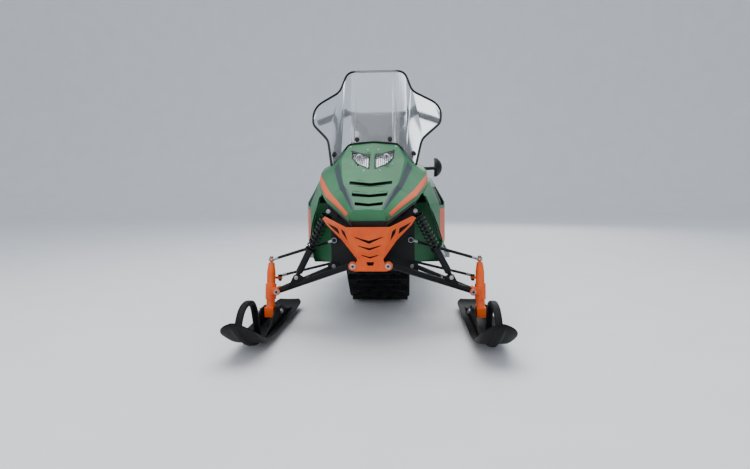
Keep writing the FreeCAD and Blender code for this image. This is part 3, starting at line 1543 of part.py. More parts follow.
def tunnel_form():
    """The tunnel's outer form, filled."""
    points = [
        V(-TUNNEL_HALF, TUNNEL_FRONT_Y, TUNNEL_SKIRT_Z),
        V(-TUNNEL_HALF, TUNNEL_FRONT_Y, TUNNEL_TOP_FRONT),
        V(-TUNNEL_HALF, TUNNEL_REAR_Y, TUNNEL_TOP_REAR),
        V(-TUNNEL_HALF, TUNNEL_REAR_Y, TUNNEL_TAIL_Z),
        V(-TUNNEL_HALF, BOARD_REAR_Y, TUNNEL_SKIRT_Z),
    ]
    return plate(points, V(2 * TUNNEL_HALF, 0, 0))


def make_tunnel():
    """The folded sheet over the track, open below and at the rear."""
    half = TUNNEL_INSIDE / 2
    points = [
        V(-half, TUNNEL_FRONT_Y + SHEET, 0),
        V(-half, TUNNEL_FRONT_Y + SHEET, TUNNEL_TOP_FRONT - SHEET),
        V(-half, TUNNEL_REAR_Y + 1, TUNNEL_TOP_REAR - SHEET),
        V(-half, TUNNEL_REAR_Y + 1, 0),
    ]
    return tunnel_form().cut(plate(points, V(2 * half, 0, 0)))


# The board's edge seen from above: y and x
BOARD_EDGE = [(BOARD_FRONT_Y, 330), (-190, BOARD_OUT_X), (560, BOARD_OUT_X), (BOARD_REAR_Y, 300)]
BOARD_SLOTS = (-150, 62, 12)  # y of the first slot, their pitch and count
BOARD_SLOT = 30.0
BOARD_SLOT_X = (232, 344)


def make_running_boards():
    """Both running boards with their raised outer edges."""
    low = BOARD_Z - FRAME_SHEET
    edge = [V(x, y, low) for y, x in BOARD_EDGE]
    points = [V(TUNNEL_HALF, BOARD_FRONT_Y, low)] + edge + [V(TUNNEL_HALF, BOARD_REAR_Y, low)]
    floor = plate(points, V(0, 0, FRAME_SHEET))
    past = V(0, 2 * FRAME_SHEET, 0)
    inside = [p - V(FRAME_SHEET, 0, 0) for p in edge]
    inside = [points[0] - past, inside[0] - past] + inside[1:] + [inside[-1] + past, points[-1] + past]
    rim = plate(points, V(0, 0, BOARD_LIP)).cut(plate(inside, V(0, 0, BOARD_LIP)))
    board = fused([floor] + list(rim.Solids))
    first, step, count = BOARD_SLOTS
    slots = []
    for i in range(count):
        y = first + step * i
        slots.append(block(BOARD_SLOT_X, (y, y + BOARD_SLOT), (low - 1, BOARD_Z + 1)))
    return both_sides(board.cut(Part.makeCompound(slots)))


BODY_FOOT_Z = 440.0
BODY_CROWN = 4.0


def upper_body(table):
    """A padded or moulded form on the tunnel, from sections of half widths and heights along y."""
    sections = []
    for y, top_z, top_x, edge_z, edge_x, low_x in table:
        half = [(0, top_z), (top_x, top_z - BODY_CROWN), (edge_x, edge_z), (low_x, BODY_FOOT_Z)]
        ring = [(-x, z) for x, z in reversed(half[1:])] + half
        sections.append(at_y(ring, y))
    return loft(sections).cut(tunnel_form())


# y, top, half width of the top, height and half width of the edge, half width at the foot
TANK = [
    (CONSOLE_REAR_Y + SEAM, 724, 84, 676, 130, 150),
    (40, 704, 84, 664, 128, 150),
    (TANK_REAR_Y, 676, 92, 640, 132, 150),
]
SEAT = [
    (SEAT_FRONT_Y, 690, 92, 640, 130, 150),
    (260, 702, 108, 640, 148, 158),
    (560, 708, 122, 640, 160, 164),
    (640, 740, 124, 660, 162, 166),
    (SEAT_REAR_Y, 752, 118, 672, 156, 160),
]


def make_fuel_tank():
    """The moulded tank between the dash cover and the seat."""
    return upper_body(TANK)


def make_seat():
    """The two-up seat: a lower front part for the driver and a raised rear part."""
    return upper_body(SEAT)


# Backrest outline seen from the front: x, z and corner radius of its left half
BACK_OUTLINE = [(196, 796, 40), (214, 1000, 60), (176, 1112, 50)]
BACK_Y = (SEAT_REAR_Y - 6, SEAT_REAR_Y + 60)
BACK_POST_X = 120.0
BACK_POST_R = 12.0
BACK_HOOP_Z = (440, 1040)
BACK_HOOP_BEND = 50.0


def make_seat_back():
    """The passenger's backrest pad."""
    low_y, high_y = BACK_Y
    half = [(V(x, low_y, z), r) for x, z, r in BACK_OUTLINE]
    other = [(V(-x, low_y, z), r) for x, z, r in reversed(BACK_OUTLINE)]
    pad = rounded_plate(half + other, V(0, high_y - low_y, 0))
    return pad


def make_back_frame():
    """The steel hoop that carries the backrest."""
    high_y = BACK_Y[1]
    y = high_y + BACK_POST_R
    left = [V(BACK_POST_X, y, z) for z in reversed(BACK_HOOP_Z)]
    path = [flip(p) for p in reversed(left)] + left
    return bent_bar(path, BACK_HOOP_BEND, BACK_POST_R).cut(tunnel_form())


REAR_TUBE_R = 13.0
REAR_TUBE = [(204, TUNNEL_REAR_Y - 230, 384), (204, REAR_Y - REAR_TUBE_R, 436)]
REAR_TUBE_BEND = 60.0


def make_rear_bumper():
    """The rear grab rail: one bent tube along the tunnel's sides and across its end."""
    side = [V(x, y, z) for x, y, z in REAR_TUBE]
    path = side + [flip(p) for p in reversed(side)]
    return bent_bar(path, REAR_TUBE_BEND, REAR_TUBE_R)


HITCH_PIN_R = 8.0
HITCH_Z = (404, 412)
HITCH_HALF = 26.0
HITCH_END_Y = REAR_Y - 82
HITCH_HOLE_Y = HITCH_END_Y - 26
HITCH_WIDE = 90.0
HITCH_FLUSH_Z = 460.0
HITCH_ROOT_Y = TUNNEL_REAR_Y - 60
HITCH_NECK_Y = TUNNEL_REAR_Y - 8
HITCH_SHEET = 6.0
HITCH_CORNER = 18.0
HANGER_DROP = 20.0


def make_hitch():
    """The towing tongue under the tunnel's end: a plate with an upright hole and its hanger."""
    low_z, high_z = HITCH_Z
    half_line = [
        (V(HITCH_WIDE, HITCH_ROOT_Y, low_z), 0),
        (V(HITCH_HALF, HITCH_NECK_Y, low_z), 0),
        (V(HITCH_HALF, HITCH_END_Y, low_z), HITCH_CORNER),
    ]
    outline = half_line + [(flip(p), radius) for p, radius in reversed(half_line)]
    tongue = rounded_plate(outline, V(0, 0, high_z - low_z))
    hanger_y = (HITCH_ROOT_Y, HITCH_ROOT_Y + HITCH_SHEET)
    hanger = block((-HITCH_WIDE, HITCH_WIDE), hanger_y, (high_z - 1, TUNNEL_TOP_REAR - HANGER_DROP))
    cheek_x = (HITCH_WIDE - HITCH_SHEET, HITCH_WIDE)
    cheeks = both_sides(block(cheek_x, (HITCH_ROOT_Y, TUNNEL_REAR_Y - HITCH_SHEET), (low_z, HITCH_FLUSH_Z)))
    body = fused([tongue, hanger.cut(tongue)] + list(cheeks.Solids))
    hole = bar(V(0, HITCH_HOLE_Y, 0), V(0, HITCH_HOLE_Y, HITCH_FLUSH_Z), HITCH_PIN_R)
    roof = plate(
        [
            V(-TUNNEL_HALF, TUNNEL_FRONT_Y, TUNNEL_TOP_FRONT - SHEET),
            V(-TUNNEL_HALF, TUNNEL_REAR_Y, TUNNEL_TOP_REAR - SHEET),
            V(-TUNNEL_HALF, TUNNEL_REAR_Y, TUNNEL_TOP_FRONT),
        ],
        V(2 * TUNNEL_HALF, 0, 0),
    )
    return body.cut(hole).cut(roof)


TAIL_LAMP_HALF = 92.0
TAIL_LAMP_Z = (430, 512)
TAIL_LAMP_Y = (TUNNEL_REAR_Y - 66, TUNNEL_REAR_Y - 12)


def make_tail_lamp():
    """The tail lamp on the tunnel's end."""
    return block((-TAIL_LAMP_HALF, TAIL_LAMP_HALF), TAIL_LAMP_Y, TAIL_LAMP_Z).cut(tunnel_form())


# How far behind the tunnel the flap's front face hangs, and its height there
FLAP_LINE = [(0, TUNNEL_TOP_REAR - 1), (62, 260), (78, 96)]
FLAP_THICK = 8.0
FLAP_HALF = 178.0
FLAP_SLOT = 8.0


def make_snow_flap():
    """The rubber flap behind the track."""
    y = TUNNEL_REAR_Y
    near = [V(-FLAP_HALF, y + back, z) for back, z in FLAP_LINE]
    far = [V(-FLAP_HALF, y + back + FLAP_THICK, z) for back, z in reversed(FLAP_LINE)]
    slot_half = HITCH_HALF + FLAP_SLOT
    low_z, high_z = HITCH_Z
    slot_z = (low_z - FLAP_SLOT, high_z + FLAP_SLOT)
    slot = block((-slot_half, slot_half), (TUNNEL_REAR_Y - SHEET, REAR_Y), slot_z)
    return plate(near + far, V(2 * FLAP_HALF, 0, 0)).cut(slot)


PAN_Z = 296.0
PAN_GAP = 0.5
PAN_EDGE = [(104, -748), (126, -720), (126, -484), (192, -464), (318, -442), (312, -300), (300, -240)]  # x, y


def make_belly_pan():
    """The plastic pan under the front frame and the side panels."""
    edge = [V(x, y, PAN_Z) for x, y in PAN_EDGE]
    points = edge + [flip(p) for p in reversed(edge)]
    pan = plate(points, V(0, 0, SKIN))
    gap_half = TUNNEL_HALF + PAN_GAP
    gap = block((-gap_half, gap_half), (TUNNEL_FRONT_Y, 0), (0, KEEL_HIGH_Z))
    exhaust = bar(V(EXHAUST_X, EXHAUST_Y, 0), V(EXHAUST_X, EXHAUST_Y, KEEL_HIGH_Z), EXHAUST_R)
    return pan.cut(gap).cut(exhaust)


EXHAUST_X = -100.0
EXHAUST_Y = -670.0
EXHAUST_R = 21.0
EXHAUST_WALL = 3.0
EXHAUST_END_Z = 276.0
EXHAUST_OPEN_Z = 330.0
ENGINE_X = (-150, 150)
ENGINE_Y = (-730, -602)
ENGINE_TOP_Z = 590.0


def make_engine():
    """The engine as one plain block on the keel."""
    return block(ENGINE_X, ENGINE_Y, (KEEL_HIGH_Z, ENGINE_TOP_Z))


def make_exhaust():
    """The exhaust's outlet through the pan."""
    start = V(EXHAUST_X, EXHAUST_Y, EXHAUST_END_Z)
    end = V(EXHAUST_X, EXHAUST_Y, KEEL_HIGH_Z)
    opening_end = V(EXHAUST_X, EXHAUST_Y, EXHAUST_OPEN_Z)
    return bar(start, end, EXHAUST_R).cut(bar(start, opening_end, EXHAUST_R - EXHAUST_WALL))


def pieces():
    """Every node's name and the call that makes it."""
    return [
        ("tunnel", make_tunnel),
        ("front_frame", make_front_frame),
        ("front_bumper", make_bumper),
        ("hood", make_hood),
        ("nose_trim", make_nose_trim),
        ("headlamps", make_headlamps),
        ("console", make_console),
        ("side_panels", make_side_panels),
        ("belly_pan", make_belly_pan),
        ("windshield", make_windshield),
        ("windshield_trim", make_windshield_trim),
        ("mirror", make_mirror),
        ("fuel_tank", make_fuel_tank),
        ("seat", make_seat),
        ("seat_back", make_seat_back),
        ("back_frame", make_back_frame),
        ("running_boards", make_running_boards),
        ("rear_bumper", make_rear_bumper),
        ("hitch", make_hitch),
        ("tail_lamp", make_tail_lamp),
        ("snow_flap", make_snow_flap),
        ("track", make_track),
        ("slide_rails", make_slide_rails),
        ("idler_wheels", make_idler_wheels),
        ("skid_arms", make_skid_arms),
        ("drive_axle", make_drive_axle),
        ("engine", make_engine),
        ("exhaust", make_exhaust),
        ("lower_arms", make_lower_arms),
        ("upper_rods", make_upper_rods),
        ("shock_bodies", make_shock_bodies),
        ("shock_springs", make_shock_springs),
        ("knuckles", make_knuckles),
        ("spindle_left", make_spindle),
        ("spindle_right", lambda: on_right(make_spindle())),
        ("ski_left", make_ski),
        ("ski_right", lambda: on_right(make_ski())),
        ("ski_runner_left", make_runner),
        ("ski_runner_right", lambda: on_right(make_runner())),
        ("tie_rod_left", make_tie_rod),
        ("tie_rod_right", lambda: on_right(make_tie_rod())),
        ("handlebar", make_handlebar),
        ("grips", make_grips),
        ("bar_controls", make_bar_controls),
        ("bar_pad", make_bar_pad),
    ]


os.makedirs("parts", exist_ok=True)
for name, make in pieces():
    shape = make()
    box = shape.BoundBox
    reach = f"x {box.XMin:.1f} {box.XMax:.1f} y {box.YMin:.1f} {box.YMax:.1f} z {box.ZMin:.1f} {box.ZMax:.1f}"
    state = f"solids {len(shape.Solids)} valid {shape.isValid()} volume {shape.Volume / 1000:.1f}"
    print(f"{name:18s} {state} {reach}")
    shape.exportStep(f"parts/{name}.step")
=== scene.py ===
import bmesh
import bpy
import math
from mathutils import Matrix, Vector
from mathutils.bvhtree import BVHTree


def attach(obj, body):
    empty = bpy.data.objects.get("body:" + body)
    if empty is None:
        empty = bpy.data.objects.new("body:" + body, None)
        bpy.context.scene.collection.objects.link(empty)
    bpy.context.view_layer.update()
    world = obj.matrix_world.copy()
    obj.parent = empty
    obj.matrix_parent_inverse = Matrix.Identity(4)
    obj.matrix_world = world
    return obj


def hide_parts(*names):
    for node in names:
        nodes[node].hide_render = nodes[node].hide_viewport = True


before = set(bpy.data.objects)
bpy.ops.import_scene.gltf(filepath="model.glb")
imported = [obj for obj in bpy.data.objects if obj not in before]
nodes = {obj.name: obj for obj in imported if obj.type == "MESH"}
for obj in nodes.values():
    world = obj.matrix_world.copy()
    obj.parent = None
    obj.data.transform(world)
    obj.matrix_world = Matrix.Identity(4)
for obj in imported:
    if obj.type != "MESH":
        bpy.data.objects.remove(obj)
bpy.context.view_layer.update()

# Floor, light and camera
# A pale sweep of paper with a large soft light overhead, as under an even sky. The camera stands in
# front of the machine a little to its left, at hip height, and looks slightly down.

FLOOR_HALF = 18.0
FLOOR_FRONT_Y = -9.0
SWEEP_Y = 7.0
SWEEP_R = 3.0
SWEEP_STEPS = 12
WALL_TOP = 7.0
PAPER = "#E4E6E9"
PAPER_FIBRE = "#EDEEF0"
SKY = "#DFE6F0"
SKY_STRENGTH = 0.85


def linear(hex_colour):
    """A colour of linear light from its sRGB hex value."""
    parts = [int(hex_colour[i:i + 2], 16) / 255 for i in (1, 3, 5)]
    return [p / 12.92 if p <= 0.04045 else ((p + 0.055) / 1.055) ** 2.4 for p in parts] + [1.0]


def feed(node, inputs):
    """Sets a node's inputs: to a value, or linked to a socket or to another node's first output."""
    for key, value in inputs.items():
        if isinstance(value, bpy.types.Node):
            value = next(socket for socket in value.outputs if socket.enabled)
        if isinstance(value, bpy.types.NodeSocket):
            node.id_data.links.new(value, node.inputs[key])
        else:
            node.inputs[key].default_value = value


def add(tree, kind, inputs=None, **settings):
    """A node with its settings and inputs."""
    made = tree.nodes.new(kind)
    for key, value in settings.items():
        setattr(made, key, value)
    feed(made, inputs or {})
    return made


def new_finish(name):
    """A material with an empty tree, its shader and its object coordinates."""
    finish = bpy.data.materials.new(name)
    finish.use_nodes = True
    tree = finish.node_tree
    tree.nodes.clear()
    shader = add(tree, "ShaderNodeBsdfPrincipled")
    add(tree, "ShaderNodeOutputMaterial", {"Surface": shader.outputs["BSDF"]})
    place = add(tree, "ShaderNodeTexCoord").outputs["Object"]
    return finish, tree, shader, place


def placed(name, mesh, finish=None):
    """An object of a mesh, or of a bmesh that it uses up, at the origin, with one finish if given."""
    if isinstance(mesh, bmesh.types.BMesh):
        shape, mesh = mesh, bpy.data.meshes.new(name)
        shape.to_mesh(mesh)
        shape.free()
    if finish:
        mesh.materials.clear()
        mesh.materials.append(finish)
    piece = bpy.data.objects.new(name, mesh)
    bpy.context.scene.collection.objects.link(piece)
    return piece


def new_piece(name, points, faces, finish):
    """A mesh piece from its points and faces."""
    mesh = bpy.data.meshes.new(name)
    mesh.from_pydata([tuple(p) for p in points], [], [tuple(f) for f in faces])
    return placed(name, mesh, finish)


paper, tree, shader, place = new_finish("matt_paper_sweep")
fibre = add(tree, "ShaderNodeTexNoise", {"Vector": place, "Scale": 3.0, "Detail": 2.0})
tint = add(
    tree, "ShaderNodeMix", {"Factor": fibre, "A": linear(PAPER), "B": linear(PAPER_FIBRE)},
    data_type="RGBA",
)
feed(shader, {"Base Color": tint, "Roughness": 0.9})
profile = [(FLOOR_FRONT_Y, 0.0)]
for i in range(SWEEP_STEPS + 1):
    turn = math.radians(90 * i / SWEEP_STEPS)
    profile.append((SWEEP_Y + SWEEP_R * math.sin(turn), SWEEP_R * (1 - math.cos(turn))))
profile.append((SWEEP_Y + SWEEP_R, WALL_TOP))
sweep_points = []
for y, z in profile:
    sweep_points += [(-FLOOR_HALF, y, z), (FLOOR_HALF, y, z)]
sweep_faces = [(2 * i, 2 * i + 1, 2 * i + 3, 2 * i + 2) for i in range(len(profile) - 1)]
sweep = new_piece("floor_sweep", sweep_points, sweep_faces, paper)
sweep.data.shade_smooth()

world = bpy.data.worlds.new("soft_sky")
world.use_nodes = True
world.node_tree.nodes["Background"].inputs["Color"].default_value = linear(SKY)
world.node_tree.nodes["Background"].inputs["Strength"].default_value = SKY_STRENGTH
bpy.context.scene.world = world
# name, place, point it faces, width, power
for name, at, to, size, power in (
    ("top_softbox", (0.0, -0.6, 4.2), (0, -0.2, 0.4), 4.5, 190),
    ("front_fill", (-1.2, -5.0, 2.2), (0, -0.6, 0.5), 3.0, 60),
    ("rear_fill", (1.5, 4.6, 2.6), (0, 0.4, 0.6), 3.0, 60),
):
    lamp = bpy.data.lights.new(name, "AREA")
    lamp.shape = "SQUARE"
    lamp.size = size
    lamp.energy = power
    holder = bpy.data.objects.new(name, lamp)
    aim = (Vector(to) - Vector(at)).to_track_quat("-Z", "Y").to_matrix().to_4x4()
    holder.matrix_world = Matrix.Translation(at) @ aim
    bpy.context.scene.collection.objects.link(holder)

CAMERA_AT = Vector((0.148, -3.285, 0.72))
CAMERA_YAW = math.radians(3.1)
CAMERA_DOWN = math.radians(5.73)
CAMERA_ROLL = math.radians(-0.618)
CAMERA_LENS = 27.0
level = Vector((-math.sin(CAMERA_YAW), math.cos(CAMERA_YAW), 0))
ahead = level * math.cos(CAMERA_DOWN) - Vector((0, 0, math.sin(CAMERA_DOWN)))
across = Vector((math.cos(CAMERA_YAW), math.sin(CAMERA_YAW), 0))
upward = across.cross(ahead)
rolled_across = across * math.cos(CAMERA_ROLL) + upward * math.sin(CAMERA_ROLL)
rolled_up = upward * math.cos(CAMERA_ROLL) - across * math.sin(CAMERA_ROLL)
lens = bpy.data.cameras.new("photo_camera")
lens.lens = CAMERA_LENS
lens.sensor_width = 36.0
camera = bpy.data.objects.new("photo_camera", lens)
turned_to = Matrix((rolled_across, rolled_up, -ahead)).transposed().to_4x4()
camera.matrix_world = Matrix.Translation(CAMERA_AT) @ turned_to
bpy.context.scene.collection.objects.link(camera)
bpy.context.scene.camera = camera


# Tunnel and running boards
# The tunnel is folded from 3 mm aluminium sheet, and the boards hang from its sides with rows of
# domed rivets. Pressed studs with sharp rims give the boots a hold.

RIVET_R = 0.0042
RIVET_RISE = 0.0024
STUD_R = 0.0055
STUD_RISE = 0.0045
TUNNEL_SIDE_X = 0.191
WEAR_REACH = 0.0025
RIVET_COUNT = 24
RIVET_FIRST_Y = -0.40
PANEL_REAR_Y = -0.22
BOARD_REAR_Y = 0.94
LOW_RIVET_Z = 0.308
# the tunnel's upper fold: its height at one place, and its fall for each metre to the rear
FOLD_Y = -0.465
FOLD_Z = 0.479
FOLD_FALL = 0.0233
STUD_LINES_X = (0.214, 0.362, 0.379)
STUD_COUNT = 36
STUD_FIRST_Y = -0.165
STUD_PITCH = 0.0205
BOARD_Z = 0.286
SLOT_COUNT = 12
SLOT_X = 0.288
SLOT_FIRST_Y = -0.15
SLOT_PITCH = 0.062
RIM_OFFSETS = (-0.0015, 0.0315)
RIM_SIZE = (0.112, 0.003, 0.006)
UP = (0, 0, 1)


def mottled(name, dark, light, patch, grain, rough, bump, metallic=0.0, worn=None, glint=0.5):
    """A finish with a cloudy tone of one patch size, and a bump and gloss of one grain size, in mm.
    Where worn is a colour, it shows through along the edges in broken lines. Glint is how much of
    the sky a dielectric gives back."""
    finish, tree, shader, place = new_finish(name)
    cloud = add(tree, "ShaderNodeTexNoise", {"Vector": place, "Scale": 1000.0 / patch, "Detail": 4.0})
    spread = add(tree, "ShaderNodeMapRange", {"Value": cloud, "From Min": 0.35, "From Max": 0.7})
    tone = add(
        tree, "ShaderNodeMix", {"Factor": spread, "A": linear(dark), "B": linear(light)}, data_type="RGBA",
    )
    colour = tone
    fine = add(tree, "ShaderNodeTexNoise", {"Vector": place, "Scale": 1000.0 / grain, "Detail": 2.0})
    if worn:
        # the rounded normal leaves the true one only near an edge
        rounded = add(tree, "ShaderNodeBevel", {"Radius": WEAR_REACH}, samples=4)
        true_normal = add(tree, "ShaderNodeNewGeometry").outputs["Normal"]
        agree = add(tree, "ShaderNodeVectorMath", {0: rounded, 1: true_normal}, operation="DOT_PRODUCT")
        edge = add(tree, "ShaderNodeMapRange", {"Value": agree, "From Min": 0.97, "From Max": 0.8})
        broken = add(tree, "ShaderNodeMath", {0: edge, 1: spread}, operation="MULTIPLY")
        rubbed = add(
            tree, "ShaderNodeMix", {"Factor": broken, "A": colour, "B": linear(worn)}, data_type="RGBA",
        )
        colour = rubbed
    feed(shader, {"Base Color": colour})
    gloss = add(tree, "ShaderNodeMapRange", {"Value": fine, "To Min": rough - 0.08, "To Max": rough + 0.08})
    feed(shader, {"Roughness": gloss})
    relief = add(tree, "ShaderNodeBump", {"Height": fine, "Strength": bump, "Distance": grain / 1500.0})
    feed(shader, {"Normal": relief, "Metallic": metallic, "Specular IOR Level": glint})
    return finish


def refinish(finish, *node_names):
    """Gives CAD nodes a finish."""
    for name in node_names:
        slots = nodes[name].material_slots
        if not slots:
            nodes[name].data.materials.append(finish)
        for slot in slots:
            slot.material = finish


def smoothed(piece, angle):
    """Smooth shading, apart from the edges that fold by more than an angle in degrees."""
    piece.data.shade_smooth()
    piece.data.set_sharp_from_angle(angle=math.radians(angle))
    return piece


def settle(piece, body):
    """A piece rides on a body."""
    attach(piece, body)
    return piece


def apply_all(piece):
    """Every modifier of a piece goes into its mesh."""
    graph = bpy.context.evaluated_depsgraph_get()
    graph.update()
    mesh = bpy.data.meshes.new_from_object(piece.evaluated_get(graph), depsgraph=graph)
    piece.modifiers.clear()
    old = piece.data
    piece.data = mesh
    bpy.data.meshes.remove(old)


def new_tree(name, *sockets):
    """A Geometry Nodes tree with named inputs, each a name and a kind, and its inputs' sockets."""
    tree = bpy.data.node_groups.new(name, "GeometryNodeTree")
    tree.interface.new_socket("Geometry", in_out="OUTPUT", socket_type="NodeSocketGeometry")
    tree.interface.new_socket("Geometry", in_out="INPUT", socket_type="NodeSocketGeometry")
    for label, kind in sockets + (("Finish", "Material"),):
        tree.interface.new_socket(label, in_out="INPUT", socket_type="NodeSocket" + kind)
    return tree, add(tree, "NodeGroupInput").outputs


def end_tree(tree, given, geometry):
    """Closes a tree: its instances become real and take the finish."""
    real = add(tree, "GeometryNodeRealizeInstances", {"Geometry": geometry})
    dressed = add(tree, "GeometryNodeSetMaterial", {"Geometry": real, "Material": given["Finish"]})
    add(tree, "NodeGroupOutput", {"Geometry": dressed})


def end_on_points(tree, given, shape):
    """Closes a tree that sets one shape on each point, its z along the point's aim and its x level."""
    aim = add(tree, "GeometryNodeInputNamedAttribute", {"Name": "aim"}, data_type="FLOAT_VECTOR")
    raised = add(tree, "FunctionNodeAlignRotationToVector", {"Vector": aim}, axis="Z")
    level = add(
        tree, "FunctionNodeAlignRotationToVector", {"Rotation": raised, "Vector": (1, 0, 0)}, axis="X",
        pivot_axis="Z",
    )
    spread = {"Points": given["Geometry"], "Instance": shape, "Rotation": level}
    end_tree(tree, given, add(tree, "GeometryNodeInstanceOnPoints", spread))


def grown(name, tree, body, finish, values, base=None):
    """A plain piece from a tree, its inputs set by name, on a base mesh or on nothing."""
    piece = placed(name, base or bpy.data.meshes.new(name))
    modifier = piece.modifiers.new("grow", "NODES")
    modifier.node_group = tree
    for item in tree.interface.items_tree:
        if item.in_out == "INPUT" and item.name in values:
            modifier[item.identifier] = values[item.name]
        if item.in_out == "INPUT" and item.name == "Finish":
            modifier[item.identifier] = finish
    apply_all(piece)
    return settle(piece, body)


def fastened(name, tree, body, finish, spots, values):
    """Heads from a tree, one at each spot, which is a point and the way that the head faces."""
    mesh = bpy.data.meshes.new(name)
    mesh.from_pydata([tuple(at) for at, _ in spots], [], [])
    aims = mesh.attributes.new("aim", "FLOAT_VECTOR", "POINT")
    for item, (_, aim) in zip(aims.data, spots):
        item.vector = aim
    return grown(name, tree, body, finish, values, mesh)


def sided(point, side=-1):
    """A point or an aim of the left side, on the side that is 1 for left and -1 for right."""
    return Vector((side * point[0], point[1], point[2]))


def both(spots):
    """The spots of the left side and their mirrored twins."""
    return [(sided(at, side), sided(aim, side)) for at, aim in spots for side in (1, -1)]


rivet_tree, given = new_tree("domed_rivets", ("Radius", "Float"), ("Rise", "Float"))
ball = add(rivet_tree, "GeometryNodeMeshUVSphere", {"Segments": 12, "Rings": 8, "Radius": 1.0})
size = add(
    rivet_tree, "ShaderNodeCombineXYZ", {"X": given["Radius"], "Y": given["Radius"], "Z": given["Rise"]},
)
dome = add(rivet_tree, "GeometryNodeTransform", {"Geometry": ball, "Scale": size})
smooth_dome = add(rivet_tree, "GeometryNodeSetShadeSmooth", {"Geometry": dome})
end_on_points(rivet_tree, given, smooth_dome)

# sheet as it leaves the rolls: a pale dull metal with long soft streaks and rubbed bright edges
sheet_metal = mottled("rolled_aluminium_sheet", "#797E82", "#868B8F", 140, 0.6, 0.42, 0.12, 1.0, "#B4B8BB")
refinish(sheet_metal, "tunnel", "running_boards")
rivets = []
for i in range(RIVET_COUNT):
    y = RIVET_FIRST_Y + SLOT_PITCH * i
    top = FOLD_Z - FOLD_FALL * (y - FOLD_Y)
    if y > PANEL_REAR_Y:
        rivets.append(((TUNNEL_SIDE_X, y, top - 0.016), (1, 0, 0)))
        if y < BOARD_REAR_Y:
            rivets.append(((TUNNEL_SIDE_X, y, LOW_RIVET_Z), (1, 0, 0)))
fastened(
    "tunnel_rivets", rivet_tree, "chassis", sheet_metal, both(rivets),
    {"Radius": RIVET_R, "Rise": RIVET_RISE},
)
studs = [((x, STUD_FIRST_Y + STUD_PITCH * i, BOARD_Z), UP) for i in range(STUD_COUNT) for x in STUD_LINES_X]
fastened(
    "board_studs", rivet_tree, "chassis", sheet_metal, both(studs),
    {"Radius": STUD_R, "Rise": STUD_RISE},
)
# each grip slot has a rim pressed up round it
bar_tree, given = new_tree("cross_bars", ("Size", "Vector"))
block = add(bar_tree, "GeometryNodeMeshCube", {"Size": given["Size"]})
end_on_points(bar_tree, given, block)
slots_y = [SLOT_FIRST_Y + SLOT_PITCH * i for i in range(SLOT_COUNT)]
rims = [((SLOT_X, y + offset, BOARD_Z + 0.002), UP) for y in slots_y for offset in RIM_OFFSETS]
fastened("slot_rims", bar_tree, "chassis", sheet_metal, both(rims), {"Size": RIM_SIZE})


# Track and the suspension inside it
# One endless belt of moulded rubber over cords, with glass-fibre rods set across it and bright steel
# clips where the slide rails run. The rails are extruded aluminium, the wheels black polymer.

ROD_SIZE = (0.330, 0.011, 0.006)
CLIP_SIZE = (0.030, 0.024, 0.004)
BELT_OUT = 0.006
BELT_LENGTH = 3.037
LUG_PITCH = 0.064
RAIL_X = 0.105
# y, z and radius of the circles that the belt's inner face runs round
BELT_STOPS = [(-0.330, 0.360, 0.080), (0.0286, 0.281, 0.250), (0.870, 0.120, 0.089)]


def belt_spots(count, shift):
    """Equally spaced points on the belt's outer face with the outward direction at each."""
    line = []
    runs = []
    for i, (ay, az, ar) in enumerate(BELT_STOPS):
        by, bz, br = BELT_STOPS[(i + 1) % 3]
        length = math.hypot(by - ay, bz - az)
        lean = (ar - br) / length
        rest = math.sqrt(1 - lean * lean)
        uy, uz = (by - ay) / length, (bz - az) / length
        runs.append(Vector((0, lean * uy + rest * uz, lean * uz - rest * uy)))
    for i, (y, z, radius) in enumerate(BELT_STOPS):
        for step in range(25):
            normal = runs[i - 1].slerp(runs[i], step / 24)
            line.append((Vector((0, y, z)) + normal * (radius + BELT_OUT), normal))
    lengths = [(line[(i + 1) % len(line)][0] - line[i][0]).length for i in range(len(line))]
    spots = []
    for number in range(count):
        left = sum(lengths) * (number + shift) / count
        for i, length in enumerate(lengths):
            if left <= length:
                break
            left -= length
        (start, first), (end, second) = line[i], line[(i + 1) % len(line)]
        share = left / length
        spots.append((start.lerp(end, share), first.lerp(second, share).normalized()))
    return spots


track_rubber = mottled(
    "moulded_track_rubber", "#0C0D0E", "#1A1B1C", 50, 3.0, 0.7, 0.5, 0.0, "#2C2E31", 0.25,
)
refinish(track_rubber, "track")
lug_count = round(BELT_LENGTH / LUG_PITCH)
between_lugs = belt_spots(lug_count, 0.5)
fastened("track_rods", bar_tree, "chassis", track_rubber, between_lugs, {"Size": ROD_SIZE})
zinc = mottled("zinc_plated_steel", "#8C8F92", "#B9BBBD", 12, 0.4, 0.3, 0.1, 1.0)
clips = [((side * RAIL_X, at.y, at.z), aim) for at, aim in between_lugs for side in (1, -1)]
fastened("track_clips", bar_tree, "chassis", zinc, clips, {"Size": CLIP_SIZE})
black_polymer = mottled("black_polymer", "#0B0C0E", "#15171A", 60, 1.1, 0.5, 0.25, glint=0.22)
black_steel = mottled("black_powder_coat", "#08090A", "#101214", 40, 0.8, 0.4, 0.2, 0.0, "#2C2F33", 0.2)
refinish(sheet_metal, "slide_rails")
refinish(black_polymer, "idler_wheels", "belly_pan")
refinish(black_steel, "skid_arms", "front_frame")
refinish(zinc, "drive_axle")
refinish(mottled("heat_stained_steel", "#231F1C", "#3A332E", 30, 1.0, 0.5, 0.3, 0.7), "exhaust")
cast_metal = mottled("cast_engine_alloy", "#2A2C2E", "#404346", 15, 2.0, 0.6, 0.6, 0.6)
refinish(cast_metal, "engine")


# Arms, rods, shocks and steering
# Welded tube arms in black powder coat, rods with turned and threaded steel ends, and coil-over
# dampers. Every joint is a bolt with a bright washer under its head. The spindles are orange steel.

